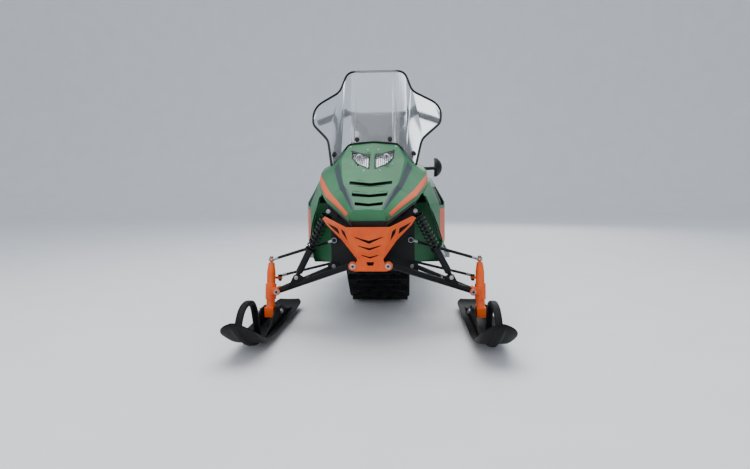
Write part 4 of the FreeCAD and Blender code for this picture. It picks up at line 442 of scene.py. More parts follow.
SPRING_TOP = Vector((0.193, -0.786, 0.575))
SPRING_LOW = Vector((0.357, -0.7267, 0.266))
SPRING_FROM, SPRING_TO = 0.08, 0.56
SPRING_MEAN_R = 0.0204
SPRING_WIRE_R = 0.0036
SPRING_COILS = 8.5
ROD_IN = Vector((0.173, -0.768, 0.442))
ROD_OUT = Vector((0.500, -0.6142, 0.331))
TIE_OUT = Vector((0.476, -0.5446, 0.2410))
TIE_IN = Vector((0.016, -0.5116, 0.3480))
KINGPIN_UP = Vector((0, 0.2079, 0.9781))
EYE_R = 0.013
EYE_HEIGHT = 0.0145
TIE_EYE_R = 0.011
ROD_BOLT = (0.173, -0.7767, 0.442)
SHOCK_BOLTS = [(0.193, -0.802, 0.575), (0.357, -0.7427, 0.266)]
ARM_BOLT = (0.178, -0.764, 0.322)
ARM_REAR_BOLT = (0.075, -0.5900, 0.349)
STUD_TOP = (0.5, -0.6127, 0.3376)
KNUCKLE_EYE = Vector((0.463, -0.6698, 0.188))
WEB_AT = (0.4800, -0.6690, 0.190)
WEB_SIZE = (0.028, 0.031, 0.030)
WASHER_THICK = 0.0016
FORWARD = (0, -1, 0)
BACKWARD = (0, 1, 0)
SIDES = ((1, "left"), (-1, "right"))

# hex heads with a chamfered top on a round washer
bolt_tree, given = new_tree(
    "bolt_heads", ("Radius", "Float"), ("Height", "Float"), ("Sides", "Int"), ("Washer", "Float"),
    ("Washer height", "Float"),
)
washer = add(
    bolt_tree, "GeometryNodeMeshCylinder",
    {"Vertices": 24, "Radius": given["Washer"], "Depth": given["Washer height"]},
)
head = add(
    bolt_tree, "GeometryNodeMeshCylinder",
    {"Vertices": given["Sides"], "Radius": given["Radius"], "Depth": given["Height"]},
)
narrow = add(bolt_tree, "ShaderNodeMath", {0: given["Radius"], 1: 0.84}, operation="MULTIPLY")
low = add(bolt_tree, "ShaderNodeMath", {0: given["Height"], 1: 0.22}, operation="MULTIPLY")
crown = add(
    bolt_tree, "GeometryNodeMeshCone",
    {"Vertices": given["Sides"], "Radius Top": narrow, "Radius Bottom": given["Radius"], "Depth": low},
)
half_up = add(bolt_tree, "ShaderNodeMath", {0: given["Height"], 1: 0.5}, operation="MULTIPLY")
head_up = add(bolt_tree, "ShaderNodeCombineXYZ", {"Z": half_up})
crown_up = add(bolt_tree, "ShaderNodeCombineXYZ", {"Z": given["Height"]})
set_head = add(bolt_tree, "GeometryNodeTransform", {"Geometry": head, "Translation": head_up})
set_crown = add(bolt_tree, "GeometryNodeTransform", {"Geometry": crown, "Translation": crown_up})
whole = add(bolt_tree, "GeometryNodeJoinGeometry")
for part in (washer, set_head, set_crown):
    feed(whole, {"Geometry": part})
end_on_points(bolt_tree, given, whole)


def bolts(name, body, finish, spots, radius, height, washer_r, sides=6):
    """Bolt heads of one size."""
    values = {
        "Radius": radius, "Height": height, "Sides": sides, "Washer": washer_r, "Washer height": 0.004,
    }
    return fastened(name, bolt_tree, body, finish, spots, values)


def tube_faces(rows, count, first=0):
    """Faces between rows of as many points each, closed round. The last two close its ends."""
    faces = []
    for start in range(first, first + (rows - 1) * count, count):
        for i in range(count):
            j = (i + 1) % count
            faces.append((start + i, start + j, start + count + j, start + count + i))
    faces.append([first + i for i in reversed(range(count))])
    faces.append([first + (rows - 1) * count + i for i in range(count)])
    return faces


def turned(name, body, finish, shapes, sides=24):
    """Lathe-turned forms as one piece. Each is its (distance, radius) profile, its start and its aim."""
    points = []
    faces = []
    for profile, start, aim in shapes:
        turn = Vector(aim).to_track_quat("Z", "Y").to_matrix()
        faces += tube_faces(len(profile), sides, len(points))
        for along, radius in profile:
            for i in range(sides):
                angle = 2 * math.pi * i / sides
                spoke = Vector((radius * math.cos(angle), radius * math.sin(angle), along))
                points.append(Vector(start) + turn @ spoke)
    return settle(smoothed(new_piece(name, points, faces, finish), 35), body)


def thread(length, radius, pitch=0.0025, depth=0.0006):
    """The profile of a thread, drawn coarser than the real 1.5 mm so that it shows."""
    rows = [(0.0, radius - depth)]
    for i in range(int(length / pitch)):
        rows += [(pitch * (i + 0.5), radius), (pitch * (i + 1), radius - depth)]
    return rows


spring_tree, given = new_tree(
    "coil_spring", ("Coils", "Float"), ("Mean radius", "Float"), ("Length", "Float"),
    ("Wire radius", "Float"),
)
spiral = add(
    spring_tree, "GeometryNodeCurveSpiral",
    {
        "Resolution": 24, "Rotations": given["Coils"], "Start Radius": given["Mean radius"],
        "End Radius": given["Mean radius"], "Height": given["Length"],
    },
)
wire = add(
    spring_tree, "GeometryNodeCurvePrimitiveCircle", {"Resolution": 10, "Radius": given["Wire radius"]},
)
wound = add(
    spring_tree, "GeometryNodeCurveToMesh", {"Curve": spiral, "Profile Curve": wire, "Fill Caps": True},
)
end_tree(spring_tree, given, wound)
spring_coat = mottled("epoxy_coated_spring", "#0B0C0E", "#14171A", 15, 0.6, 0.28, 0.1, glint=0.35)
for side, word in SIDES:
    top, low_eye = sided(SPRING_TOP, side), sided(SPRING_LOW, side)
    start = top.lerp(low_eye, SPRING_FROM)
    end = top.lerp(low_eye, SPRING_TO)
    length = (end - start).length - 2 * SPRING_WIRE_R
    sizes = {
        "Coils": SPRING_COILS, "Mean radius": SPRING_MEAN_R, "Length": length, "Wire radius": SPRING_WIRE_R,
    }
    spring = grown(f"coil_spring_{word}", spring_tree, "chassis", spring_coat, sizes)
    along = (end - start).normalized()
    upright = along.to_track_quat("Z", "Y").to_matrix().to_4x4()
    spring.data.transform(Matrix.Translation(start + along * SPRING_WIRE_R) @ upright)
    spring.data.shade_smooth()
    if side > 0:
        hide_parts("shock_springs")

orange_steel = mottled("orange_powder_coat", "#D24A0E", "#E25A16", 70, 0.9, 0.45, 0.18, 0.0, "#F08A50", 0.3)
anodised = mottled("black_anodised_damper", "#0A0B0D", "#14161A", 20, 0.5, 0.32, 0.1, 0.2, glint=0.3)
refinish(black_steel, "lower_arms", "upper_rods", "tie_rod_left", "tie_rod_right")
refinish(orange_steel, "knuckles", "spindle_left", "spindle_right")
refinish(anodised, "shock_bodies")
rod_along = (ROD_OUT - ROD_IN).normalized()
tie_along = (TIE_IN - TIE_OUT).normalized()
necks = []
eyes = []
ties = {"left": [], "right": []}
eye = [(0.0, 0.0120), (0.002, 0.0134), (0.0125, 0.0134), (EYE_HEIGHT, 0.0120)]
for side, word in SIDES:
    along = sided(rod_along, side)
    necks.append((thread(0.021, 0.0068), sided(ROD_IN + rod_along * EYE_R, side), along))
    necks.append((thread(0.034, 0.0070), sided(ROD_OUT - rod_along * EYE_R, side), -along))
    tie_start = sided(TIE_OUT + tie_along * TIE_EYE_R, side)
    ties[word].append((thread(0.024, 0.0078), tie_start, sided(tie_along, side)))
    eyes.append((eye, sided(ROD_OUT - KINGPIN_UP * EYE_HEIGHT / 2, side), KINGPIN_UP))
turned("rod_threads", "chassis", zinc, necks)
turned("rod_ends", "chassis", zinc, eyes)
for word, shapes in ties.items():
    turned(f"tie_thread_{word}", f"tie_rod_{word}", zinc, shapes)
# each inner eye of a rod is pressed steel with a raised bright rim on its front face
eye_face = ROD_IN + Vector((0, -0.0072, 0))
rim = [(0, 0.0122), (0.0015, 0.0118)]
rims = [(rim, at, FORWARD) for at in (eye_face, sided(eye_face))]
turned("rod_eye_washers", "chassis", zinc, rims)
black_bolt = mottled("black_oxide_bolt", "#15171A", "#24282C", 8, 0.5, 0.34, 0.1, 0.7)
bolts("rod_bolts", "chassis", black_bolt, both([(ROD_BOLT, FORWARD)]), 0.0085, 0.007, 0.010)
shock_faces = [(at, FORWARD) for at in SHOCK_BOLTS]
bolts("shock_bolts", "chassis", zinc, both(shock_faces), 0.0078, 0.007, 0.0095)
arm_faces = [(ARM_BOLT, FORWARD), (ARM_REAR_BOLT, BACKWARD)]
bolts("arm_bolts", "chassis", zinc, both(arm_faces), 0.0075, 0.006, 0.0090)
for side, word in SIDES:
    tops = [(sided(STUD_TOP, side), KINGPIN_UP)]
    bolts(f"stud_nut_{word}", f"spindle_{word}", black_bolt, tops, 0.0095, 0.0082, 0.0112)
# the knuckle's front cheek stands in front of the arm's ring, with the bolt's rosy washer on it
cheek = [(0.0, 0.0172), (0.0215, 0.0172), (0.0225, 0.0162)]
cheeks = [(cheek, at, FORWARD) for at in (KNUCKLE_EYE, sided(KNUCKLE_EYE))]
turned("knuckle_cheeks", "chassis", orange_steel, cheeks, 32)
webs = both([(WEB_AT, FORWARD)])
fastened("knuckle_webs", bar_tree, "chassis", orange_steel, webs, {"Size": WEB_SIZE})
cheek_face = KNUCKLE_EYE + Vector((0, -0.0226, 0))
# zinc gone dull and slightly rosy with rust bloom
dull_zinc = mottled("weathered_zinc_bolt", "#A08F8B", "#B9A9A4", 9, 0.6, 0.45, 0.2, 0.8)
disc = [(0, 0.0136), (WASHER_THICK, 0.0128)]
discs = [(disc, at, FORWARD) for at in (cheek_face, sided(cheek_face))]
turned("knuckle_washers", "chassis", dull_zinc, discs)
on_disc = both([(cheek_face + Vector((0, -WASHER_THICK, 0)), FORWARD)])
bolts("knuckle_bolts", "chassis", black_bolt, on_disc, 0.0048, 0.0012, 0.0052)


# Skis
# Stiff skis pressed from tough polyethylene, black right through, with a moulded strap for a handle.
# The spindle's foot is held between two ribs by one through bolt.

SKI_X = 0.5
SKI_BOLT = (0.0525, -0.665, 0.092)
WEAR_GREY = "#2B2F34"


def carve(piece, cutter):
    """Take the cutter's form away from a piece."""
    cut = piece.modifiers.new("slots", "BOOLEAN")
    cut.object = cutter
    cut.solver = "EXACT"
    cut.use_self = True
    cut.use_hole_tolerant = True
    apply_all(piece)


def softened(name, node, body, finish, fold, rim, least=8.0, thin=0.0075, cutter=None):
    """A CAD node's form with its edges rounded: by fold between facets, and by rim round thin edges.
    A cutter's form is taken away first."""
    shape = bmesh.new()
    if cutter:
        whole = new_piece(f"{name}_whole", [], [], finish)
        whole.data = nodes[node].data.copy()
        carve(whole, cutter)
        shape.from_mesh(whole.data)
        bpy.data.objects.remove(whole)
    else:
        shape.from_mesh(nodes[node].data)
    bmesh.ops.remove_doubles(shape, verts=shape.verts[:], dist=0.00005)
    bmesh.ops.dissolve_limit(
        shape, angle_limit=math.radians(0.05), verts=shape.verts[:], edges=shape.edges[:],
    )
    weight = shape.edges.layers.float.new("bevel_weight_edge")
    narrow = {}
    for one in shape.faces:
        narrow[one] = one.calc_area() / max(e.calc_length() for e in one.edges) < thin
    for edge in shape.edges:
        if len(edge.link_faces) != 2 or edge.calc_face_angle(0.0) < math.radians(least):
            continue
        slim = narrow[edge.link_faces[0]] or narrow[edge.link_faces[1]]
        edge[weight] = rim / fold if slim else 1.0
        edge.smooth = not (slim and rim == 0.0 and edge.calc_face_angle(0.0) > math.radians(25))
    piece = placed(name, shape, finish)
    piece.data.shade_smooth()
    bevel = piece.modifiers.new("round", "BEVEL")
    bevel.width = fold
    bevel.segments = 2
    bevel.limit_method = "WEIGHT"
    bevel.use_clamp_overlap = False
    bevel.harden_normals = True
    apply_all(piece)
    settle(piece, body)
    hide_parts(node)
    return piece


ski_polymer = mottled("black_polyethylene", "#060708", "#0E1012", 90, 2.2, 0.58, 0.25, 0.0, WEAR_GREY, 0.14)
refinish(zinc, "ski_runner_left", "ski_runner_right")
# y, height of the deck's underside, half width, depth of the keel, rise of the turned-up edges
SKI_ROWS = [
    (-1.2495, 0.174, 0.020, 0.001, -0.002),
    (-1.244, 0.1665, 0.040, 0.002, -0.003),
    (-1.228, 0.1510, 0.057, 0.004, -0.002),
    (-1.200, 0.1300, 0.068, 0.006, 0.001),
    (-1.160, 0.1045, 0.0735, 0.008, 0.006),
    (-1.100, 0.0710, 0.075, 0.011, 0.012),
    (-1.030, 0.0420, 0.075, 0.014, 0.015),
    (-0.940, 0.0245, 0.075, 0.017, 0.015),
    (-0.620, 0.0240, 0.075, 0.017, 0.015),
    (-0.300, 0.0240, 0.075, 0.017, 0.015),
    (-0.250, 0.0300, 0.070, 0.012, 0.011),
    (-0.216, 0.0440, 0.052, 0.004, 0.006),
]
SKI_PLATE = 0.011
SKI_EDGE_LIP = 0.008
EDGE_SLOPE = 0.015
KEEL_HALF = 0.017
# y and z of the handle's middle line, and of one rib's outline
HANDLE_PATH = [
    (-1.194, 0.134), (-1.176, 0.170), (-1.132, 0.207), (-1.060, 0.2185), (-0.990, 0.207),
    (-0.948, 0.166), (-0.925, 0.098), (-0.906, 0.030),
]
HANDLE_HALF = 0.0145
HANDLE_THICK = 0.0088
RIB_LINE = [
    (-0.960, 0.036), (-0.820, 0.060), (-0.710, 0.112), (-0.620, 0.112), (-0.480, 0.062), (-0.330, 0.034),
    (-0.330, 0.028), (-0.960, 0.028),
]
RIB_X = 0.036
RIB_HALF = 0.0045


def finished(piece, bevel_width=0.0, levels=0):
    """A piece with outward normals, bevelled and subdivided, smooth apart from sharp edges."""
    shape = bmesh.new()
    shape.from_mesh(piece.data)
    bmesh.ops.recalc_face_normals(shape, faces=shape.faces[:])
    shape.to_mesh(piece.data)
    shape.free()
    if bevel_width:
        bevel = piece.modifiers.new("round", "BEVEL")
        bevel.width = bevel_width
        bevel.segments = 2
    if levels:
        smooth = piece.modifiers.new("smooth", "SUBSURF")
        smooth.levels = levels
        smooth.render_levels = levels
    apply_all(piece)
    return smoothed(piece, 40)


def ski_deck(name, x):
    """The ski's deck: a plate with turned-up edges and a keel, its tip round and dished."""
    points = []
    for y, z, half, keel, rise in SKI_ROWS:
        slope = min(EDGE_SLOPE, half * 0.4)
        keel_half = min(KEEL_HALF, (half - slope) * 0.9)
        right = [(keel_half * 0.7, z - keel), (keel_half, z), (half - slope, z), (half, z + rise)]
        right += [(half, z + rise + SKI_EDGE_LIP), (half - slope - 0.003, z + SKI_PLATE)]
        points += [Vector((x + px, y, pz)) for px, pz in right + [(-px, pz) for px, pz in reversed(right)]]
    piece = new_piece(name, points, tube_faces(len(SKI_ROWS), 12), ski_polymer)
    crease = piece.data.attributes.new("crease_edge", "FLOAT", "EDGE")
    for item in crease.data:
        item.value = 0.35
    return finished(piece, 0.0, 2)


def ski_handle(name, x):
    """The handle: one flat strap with round edges, bent over and sunk into the deck."""
    line = [Vector((0, y, z)) for y, z in HANDLE_PATH]
    for _ in range(3):
        cut = [line[0]]
        for a, b in zip(line, line[1:]):
            cut += [a.lerp(b, 0.25), a.lerp(b, 0.75)]
        line = cut + [line[-1]]
    section = []
    for i in range(12):
        angle = 2 * math.pi * (i + 0.5) / 12
        flat = math.copysign(abs(math.cos(angle)) ** 0.45, math.cos(angle))
        tall = math.copysign(abs(math.sin(angle)) ** 0.6, math.sin(angle))
        section.append((HANDLE_HALF * flat, HANDLE_THICK * tall))
    points = []
    for i, at in enumerate(line):
        along = (line[min(i + 1, len(line) - 1)] - line[max(i - 1, 0)]).normalized()
        out = Vector((0, -along.z, along.y))
        points += [at + Vector((x + u, 0, 0)) + out * v for u, v in section]
    piece = new_piece(name, points, tube_faces(len(line), 12), ski_polymer)
    return finished(piece)


for side, word in SIDES:
    body = f"spindle_{word}"
    deck = settle(ski_deck(f"ski_deck_{word}", side * SKI_X), body)
    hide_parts(f"ski_{word}")
    settle(ski_handle(f"ski_handle_{word}", side * SKI_X), body)
    points = []
    faces = []
    for way in (-1, 1):
        faces += tube_faces(2, len(RIB_LINE), len(points))
        for half in (-RIB_HALF, RIB_HALF):
            points += [Vector((side * SKI_X + way * RIB_X + half, y, z)) for y, z in RIB_LINE]
    ribs = new_piece(f"ski_ribs_{word}", points, faces, ski_polymer)
    settle(finished(ribs, 0.0022), body)
    heads = [(sided(SKI_BOLT, way) + Vector((side * SKI_X, 0, 0)), (way, 0, 0)) for way in (1, -1)]
    bolts(f"ski_bolts_{word}", body, zinc, heads, 0.0095, 0.006, 0.013)


# Front bumper
# Laser-cut 7 mm steel, folded to three planes and powder coated orange. Two large flanged bolts with
# hex sockets hold its foot on the arms' front pivots.

EYE_BOLT_AT = Vector((0.075, -0.938, 0.349))
FLANGE_R = 0.0135
SOCKET_R = 0.0062

softened(
    "folded_bumper", "front_bumper", "chassis", orange_steel, 0.0022, 0.0014, 25.0, 0.008,
)
flange = [(0.0, FLANGE_R), (0.003, FLANGE_R), (0.0052, FLANGE_R * 0.92), (0.0062, FLANGE_R * 0.75)]
flanges = [(flange, at, FORWARD) for at in (EYE_BOLT_AT, sided(EYE_BOLT_AT))]
turned("eye_bolt_flanges", "chassis", dull_zinc, flanges, 32)
socket_spot = [(EYE_BOLT_AT + Vector((0, -0.0058, 0)), FORWARD)]
bolts("eye_bolt_sockets", "chassis", black_bolt, both(socket_spot), SOCKET_R, 0.001, 0.0006)


# Hood and side panels
# Vacuum-formed and injection-moulded ABS in a satin forest green, with thin printed film laid on its
# facets: dark grey along the ridges, brick orange along the fenders and the panels' front edges.

FILM = 0.0006
STRIPE_LIFT = 0.0013
FILM_STEP = 0.008
STRIPE_GREY = "#303C42"
STRIPE_ORANGE = "#CC5830"
GREEN_DEEP = "#27633F"
GREEN_WORN = "#34744D"
GREEN_EDGE = "#7FB493"
SCREW_R = 0.0046
# half width of each V-shaped slot, then y of its rear and its front edge at the ends and in the middle
VENT_SLOTS = [
    (0.0925, -0.834, -0.861, -0.863, -0.888),
    (0.0745, -0.925, -0.949, -0.945, -0.966),
    (0.0575, -0.990, -1.0125, -1.0065, -1.0265),
]
# the slots' places are set by one thin skin on the hood's middle facet, here by its y, z of its
# middle, and x and z of its ridge
FACE_ROWS = [
    (-1.036, 0.6004, 0.0628, 0.5972), (-0.860, 0.700, 0.115, 0.692), (-0.790, 0.7399, 0.1276, 0.7270),
]
FACE_MARGIN = 0.006
FACE_LIFT = 0.0007
FACE_SINK = 0.0012
# how far below the middle facet the black sheet of painted shade under the slots lies
SHADE_SHEET_DROP = 0.014
SLOT_SPARE = 0.012
SLOT_BARS_Z = (0.52, 0.90)
FACE_PARTS = 8
# share of the facet's width that the sheet of painted shade covers
SHADE_SHEET_SHARE = 0.93
SEEN_FROM_Y = -1.4
SEEN_FROM_X = 0.6
SCREW_RISE = 0.0024
# x and z of the screws through the hood's face
HOOD_SCREWS = [(0.025, 0.8520), (0.106, 0.8668), (0.092, 0.7838), (0.037, 0.7540)]

# satin moulding: a faint cloudy tone over 20 cm, a fine grain that breaks the gloss, pale rubbed folds
green_abs = mottled(
    "moulded_green_abs", GREEN_DEEP, GREEN_WORN, 200, 0.9, 0.44, 0.08, 0.0, GREEN_EDGE, 0.32,
)
green_plain = mottled("moulded_green_face", GREEN_DEEP, GREEN_WORN, 200, 0.9, 0.44, 0.08, glint=0.32)
for finish in (green_abs, green_plain):
    green_shader = next(n for n in finish.node_tree.nodes if n.type == "BSDF_PRINCIPLED")
    feed(green_shader, {"Coat Weight": 0.06, "Coat Roughness": 0.28})


def slot_form(spare):
    """The slots as bars that stand through the hood, each longer to the rear by spare."""
    points = []
    faces = []
    for half, rear, front, rear_mid, front_mid in VENT_SLOTS:
        faces += tube_faces(2, 6, len(points))
        front_line = [(-half, front), (0, front_mid), (half, front)]
        rear_line = [(half, rear + spare), (0, rear_mid + spare), (-half, rear + spare)]
        for z in SLOT_BARS_Z:
            points += [Vector((x, y, z)) for x, y in front_line + rear_line]
    return finished(new_piece("slot_form", points, faces, green_abs))


slot_cutter = slot_form(SLOT_SPARE)
hood = softened(
    "moulded_hood", "hood", "chassis", green_abs, 0.0065, 0.0, cutter=slot_cutter,
)
bpy.data.objects.remove(slot_cutter)
points = []
faces = []
face_rows = []
for row, following in zip(FACE_ROWS, FACE_ROWS[1:]):
    shares = [part / FACE_PARTS for part in range(FACE_PARTS)]
    face_rows += [[a + (b - a) * share for a, b in zip(row, following)] for share in shares]
face_rows.append(FACE_ROWS[-1])
count = len(face_rows)
for lift in (FACE_LIFT, -FACE_SINK):
    for y, z_mid, x_ridge, z_ridge in face_rows:
        reach = (x_ridge - FACE_MARGIN) / x_ridge
        for side in (-1, 0, 1):
            z = z_mid + (z_ridge - z_mid) * abs(side) * reach + lift
            points.append(Vector((side * x_ridge * reach, y, z)))
for row in range(count - 1):
    for corner in (row * 3, row * 3 + 1):
        top = [corner, corner + 1, corner + 4, corner + 3]
        faces += [top, [i + 3 * count for i in reversed(top)]]
border = [0, 1, 2] + [3 * r + 2 for r in range(1, count)]
border += [3 * count - 2] + [3 * r for r in range(count - 1, 0, -1)]
for i, j in zip(border, border[1:] + border[:1]):
    faces.append([i, j, j + 3 * count, i + 3 * count])
face_skin = finished(new_piece("hood_face", points, faces, green_plain))
slot_cutter = slot_form(0.0)
carve(face_skin, slot_cutter)
settle(smoothed(face_skin, 30), "chassis")
# a black sheet under the slots: painted shade, standing for the dark hollow inside the hood
points = []
for y, z_mid, x_ridge, _ in FACE_ROWS:
    points += [Vector((side * x_ridge * SHADE_SHEET_SHARE, y, z_mid - SHADE_SHEET_DROP)) for side in (-1, 1)]
faces = [(2 * r, 2 * r + 1, 2 * r + 3, 2 * r + 2) for r in range(len(FACE_ROWS) - 1)]
settle(new_piece("slot_shade_sheet", points, faces, black_polymer), "chassis")
bpy.data.objects.remove(slot_cutter)
panels = softened("moulded_side_panels", "side_panels", "chassis", green_abs, 0.006, 0.0)


def film_finish(name, hex_colour):
    """Printed vinyl film: even colour, a soft sheen and a faint 2 mm orange-peel."""
    return mottled(name, hex_colour, hex_colour, 60, 2.0, 0.42, 0.05, glint=0.35)


def laid_on(name, surface, outline, aim, lift, finish, step=FILM_STEP, straight=False):
    """A thin skin on a piece: its outline's points go along aim until they meet the piece. The lift
    off it is a length or a function of the point, along its normal, or along aim when straight."""
    sheet = bmesh.new()
    sheet.faces.new([sheet.verts.new(p) for p in outline])
    bmesh.ops.triangulate(sheet, faces=sheet.faces[:])
    while True:
        long_edges = [e for e in sheet.edges if e.calc_length() > step]
        if not long_edges:
            break
        bmesh.ops.subdivide_edges(sheet, edges=long_edges, cuts=1)
        bmesh.ops.triangulate(sheet, faces=sheet.faces[:])
    aim = Vector(aim).normalized()
    for vert in sheet.verts:
        at, normal, _, _ = surface.ray_cast(vert.co - aim * 2.0, aim)
        if at is None:
            at, normal, _, _ = surface.find_nearest(vert.co + aim * 0.8)
        way = -aim if straight else (normal if normal.dot(aim) < 0 else -normal)
        vert.co = at + way * (lift(vert.co) if callable(lift) else lift)
    bmesh.ops.recalc_face_normals(sheet, faces=sheet.faces[:])
    if sum(f.normal.dot(aim) for f in sheet.faces) > 0:
        bmesh.ops.reverse_faces(sheet, faces=sheet.faces[:])
    return placed(name, sheet, finish)


def surface_of(piece):
    """A piece's surface to cast lines on."""
    return BVHTree.FromObject(piece, bpy.context.evaluated_depsgraph_get())


hood_skin = surface_of(hood)
panel_skin = surface_of(panels)
grey_film = film_finish("printed_grey_film", STRIPE_GREY)
orange_film = film_finish("printed_orange_film", STRIPE_ORANGE)
# stripes as seen from the front, x and z
RIDGE_STRIPE = [
    (0.1614, 0.7975), (0.1825, 0.7628), (0.1665, 0.7344), (0.1341, 0.6739), (0.1163, 0.6608),
    (0.0608, 0.5889), (0.0543, 0.6015), (0.0960, 0.6719), (0.1225, 0.6969), (0.1367, 0.7299),
]
FENDER_STRIPE = [
    (0.2485, 0.7405), (0.2495, 0.7320), (0.2500, 0.7054), (0.2355, 0.6831), (0.1982, 0.6435),
    (0.1712, 0.6248), (0.1284, 0.5951), (0.0906, 0.5656), (0.0816, 0.5785), (0.1454, 0.6330),
    (0.1717, 0.6539), (0.1831, 0.6630), (0.2046, 0.6862), (0.2376, 0.7222),
]
# the panels' stripe, and a black film for their intake, which holds the mesh's own black and painted shade
# of the opening behind it, as seen from the side, y and z
INTAKE_MESH_AND_SHADE = [(-0.583, 0.675), (-0.5045, 0.675), (-0.5215, 0.585), (-0.552, 0.585)]
PANEL_STRIPE = [(-0.545, 0.569), (-0.453, 0.569), (-0.453, 0.404), (-0.492, 0.404), (-0.545, 0.458)]
for side, word in SIDES:
    for name, outline, finish in (
        ("ridge_stripe", RIDGE_STRIPE, grey_film), ("fender_stripe", FENDER_STRIPE, orange_film),
    ):
        seen = [(side * x, SEEN_FROM_Y, z) for x, z in outline]
        stripe = laid_on(f"{name}_{word}", hood_skin, seen, BACKWARD, STRIPE_LIFT, finish)
        settle(stripe, "chassis")
    # the intake's film is flat black: the mesh's own black together with painted shade of its opening
    for name, outline, finish in (
        ("panel_stripe", PANEL_STRIPE, orange_film), ("intake_mesh_and_shade", INTAKE_MESH_AND_SHADE, black_polymer),
    ):
        seen = [(side * SEEN_FROM_X, y, z) for y, z in outline]
        film = laid_on(f"{name}_{word}", panel_skin, seen, (-side, 0, 0), FILM, finish)
        settle(film, "chassis")
screws = [hood_skin.ray_cast(Vector((x, SEEN_FROM_Y, z)), Vector(BACKWARD))[:2] for x, z in HOOD_SCREWS]
fastened(
    "hood_screws", rivet_tree, "chassis", zinc, both(screws),
    {"Radius": SCREW_R, "Rise": SCREW_RISE},
)
softened("moulded_lip", "nose_trim", "chassis", black_polymer, 0.004, 0.001)


# Headlamps
# Clear moulded lenses over chromed bowls in a black frame. Each bowl has a dish round one projector
# and upright flutes outboard of it. A dark strip along the lens's upper edge is painted shade, for the
# hood's overhang.

# x, z
LAMP_OUTLINE = [(0.010, 0.826), (0.101, 0.850), (0.097, 0.812), (0.066, 0.780), (0.011, 0.758)]
# y, z of the middle, x and z of the ridge, for the facets of the hood that the lamps lie in
LAMP_BED = [(-0.760, 0.757, 0.133, 0.742), (-0.660, 0.846, 0.146, 0.806), (-0.610, 0.889, 0.112, 0.879)]
PROJECTOR_X = 0.062
PROJECTOR_Z = 0.815
PROJECTOR_R = 0.0165
DOME_R = 0.0080
DOME_RISE = 0.007
DOME_FOOT = 0.003
DISH_R = 0.034
DISH_DEPTH = 0.012
BOWL_DEPTH = 0.014
FLUTE_PITCH = 0.010
FLUTE_RISE = 0.0014
FRAME_WIDTH = 0.0052
FRAME_FRONT = 0.0008
FRAME_BACK = 0.016
FRAME_STEP = 0.012
BOWL_STEP = 0.0035
LENS_STEP = 0.01
BROW_WIDTH = 0.0095
BROW_THICK = 0.003
LENS_THICK = 0.0015
LENS_DROP = 0.0015
BAND_SCALE = 35.0


def inset(outline, depth):
    """A closed outline of (x, z) points moved inwards by a depth. It turns to the right."""
    moved = []
    count = len(outline)
    for i, (x, z) in enumerate(outline):
        bx, bz = outline[i - 1]
        ax, az = outline[(i + 1) % count]
        first = Vector((z - bz, -(x - bx))).normalized()
        second = Vector((az - z, -(ax - x))).normalized()
        shift = (first + second) * (depth / (1 + first.dot(second)))
        moved.append((x + shift.x, z + shift.y))
    return moved


bed_points = []
for y, z_mid, ridge_x, ridge_z in LAMP_BED:
    bed_points += [(-ridge_x, y, ridge_z), (0, y, z_mid), (ridge_x, y, ridge_z)]
bed_faces = [(3 * r + c, 3 * r + c + 1, 3 * r + c + 4, 3 * r + c + 3) for r in range(2) for c in range(2)]
bed = BVHTree.FromPolygons([Vector(p) for p in bed_points], bed_faces)


def on_bed(x, z, depth):
    """The point of the hood's face at x and z, moved back by a depth."""
    at = bed.ray_cast(Vector((x, SEEN_FROM_Y, z)), Vector(BACKWARD))[0]
    return Vector((x, at.y + depth, z))


def bowl_depth(point):
    """How far the bowl's surface lies in front of the hood's face: always behind it."""
    x = abs(point.x)
    reach = math.hypot(x - PROJECTOR_X, point.z - PROJECTOR_Z)
    dish = max(0.0, 1 - (reach / DISH_R) ** 2)
    flute = FLUTE_RISE * abs(math.sin(math.pi * x / FLUTE_PITCH))
    return -(BOWL_DEPTH + DISH_DEPTH * dish - flute * (1 - dish))


def divided(outline, model, step):
    """A closed outline with as many points along each side as its model's side has steps."""
    line = []
    for i, (x, z) in enumerate(model):
        ax, az = model[(i + 1) % len(model)]
        parts = max(1, round(math.hypot(ax - x, az - z) / step))
        ox, oz = outline[i]
        px, pz = outline[(i + 1) % len(outline)]
        line += [(ox + (px - ox) * k / parts, oz + (pz - oz) * k / parts) for k in range(parts)]
    return line


def lamp_frame(outline, width, front, back):
    """Points and faces of a frame along an outline: its front face, inner wall and outer wall."""
    rows = []
    corners = divided(outline, outline, FRAME_STEP)
    inner = divided(inset(outline, width), outline, FRAME_STEP)
    for ring, depth in ((corners, back), (corners, front), (inner, front), (inner, back)):
        rows.append([on_bed(x, z, depth) for x, z in ring])
    return [p for row in rows for p in row], tube_faces(len(rows), len(corners))[:-2]


def walled(piece, depth):
    """A skin that gets a thickness."""
    piece.modifiers.new("wall", "SOLIDIFY").thickness = depth
    apply_all(piece)
    return piece


chrome, tree, shader, place = new_finish("vacuum_metallised_bowl")
# aluminium vapour on smooth plastic: nearly a mirror, with a slow ripple from the moulding
wave = add(tree, "ShaderNodeTexNoise", {"Vector": place, "Scale": 90.0, "Detail": 1.0})
veil = add(tree, "ShaderNodeMapRange", {"Value": wave, "To Min": 0.14, "To Max": 0.26})
feed(shader, {"Roughness": veil})
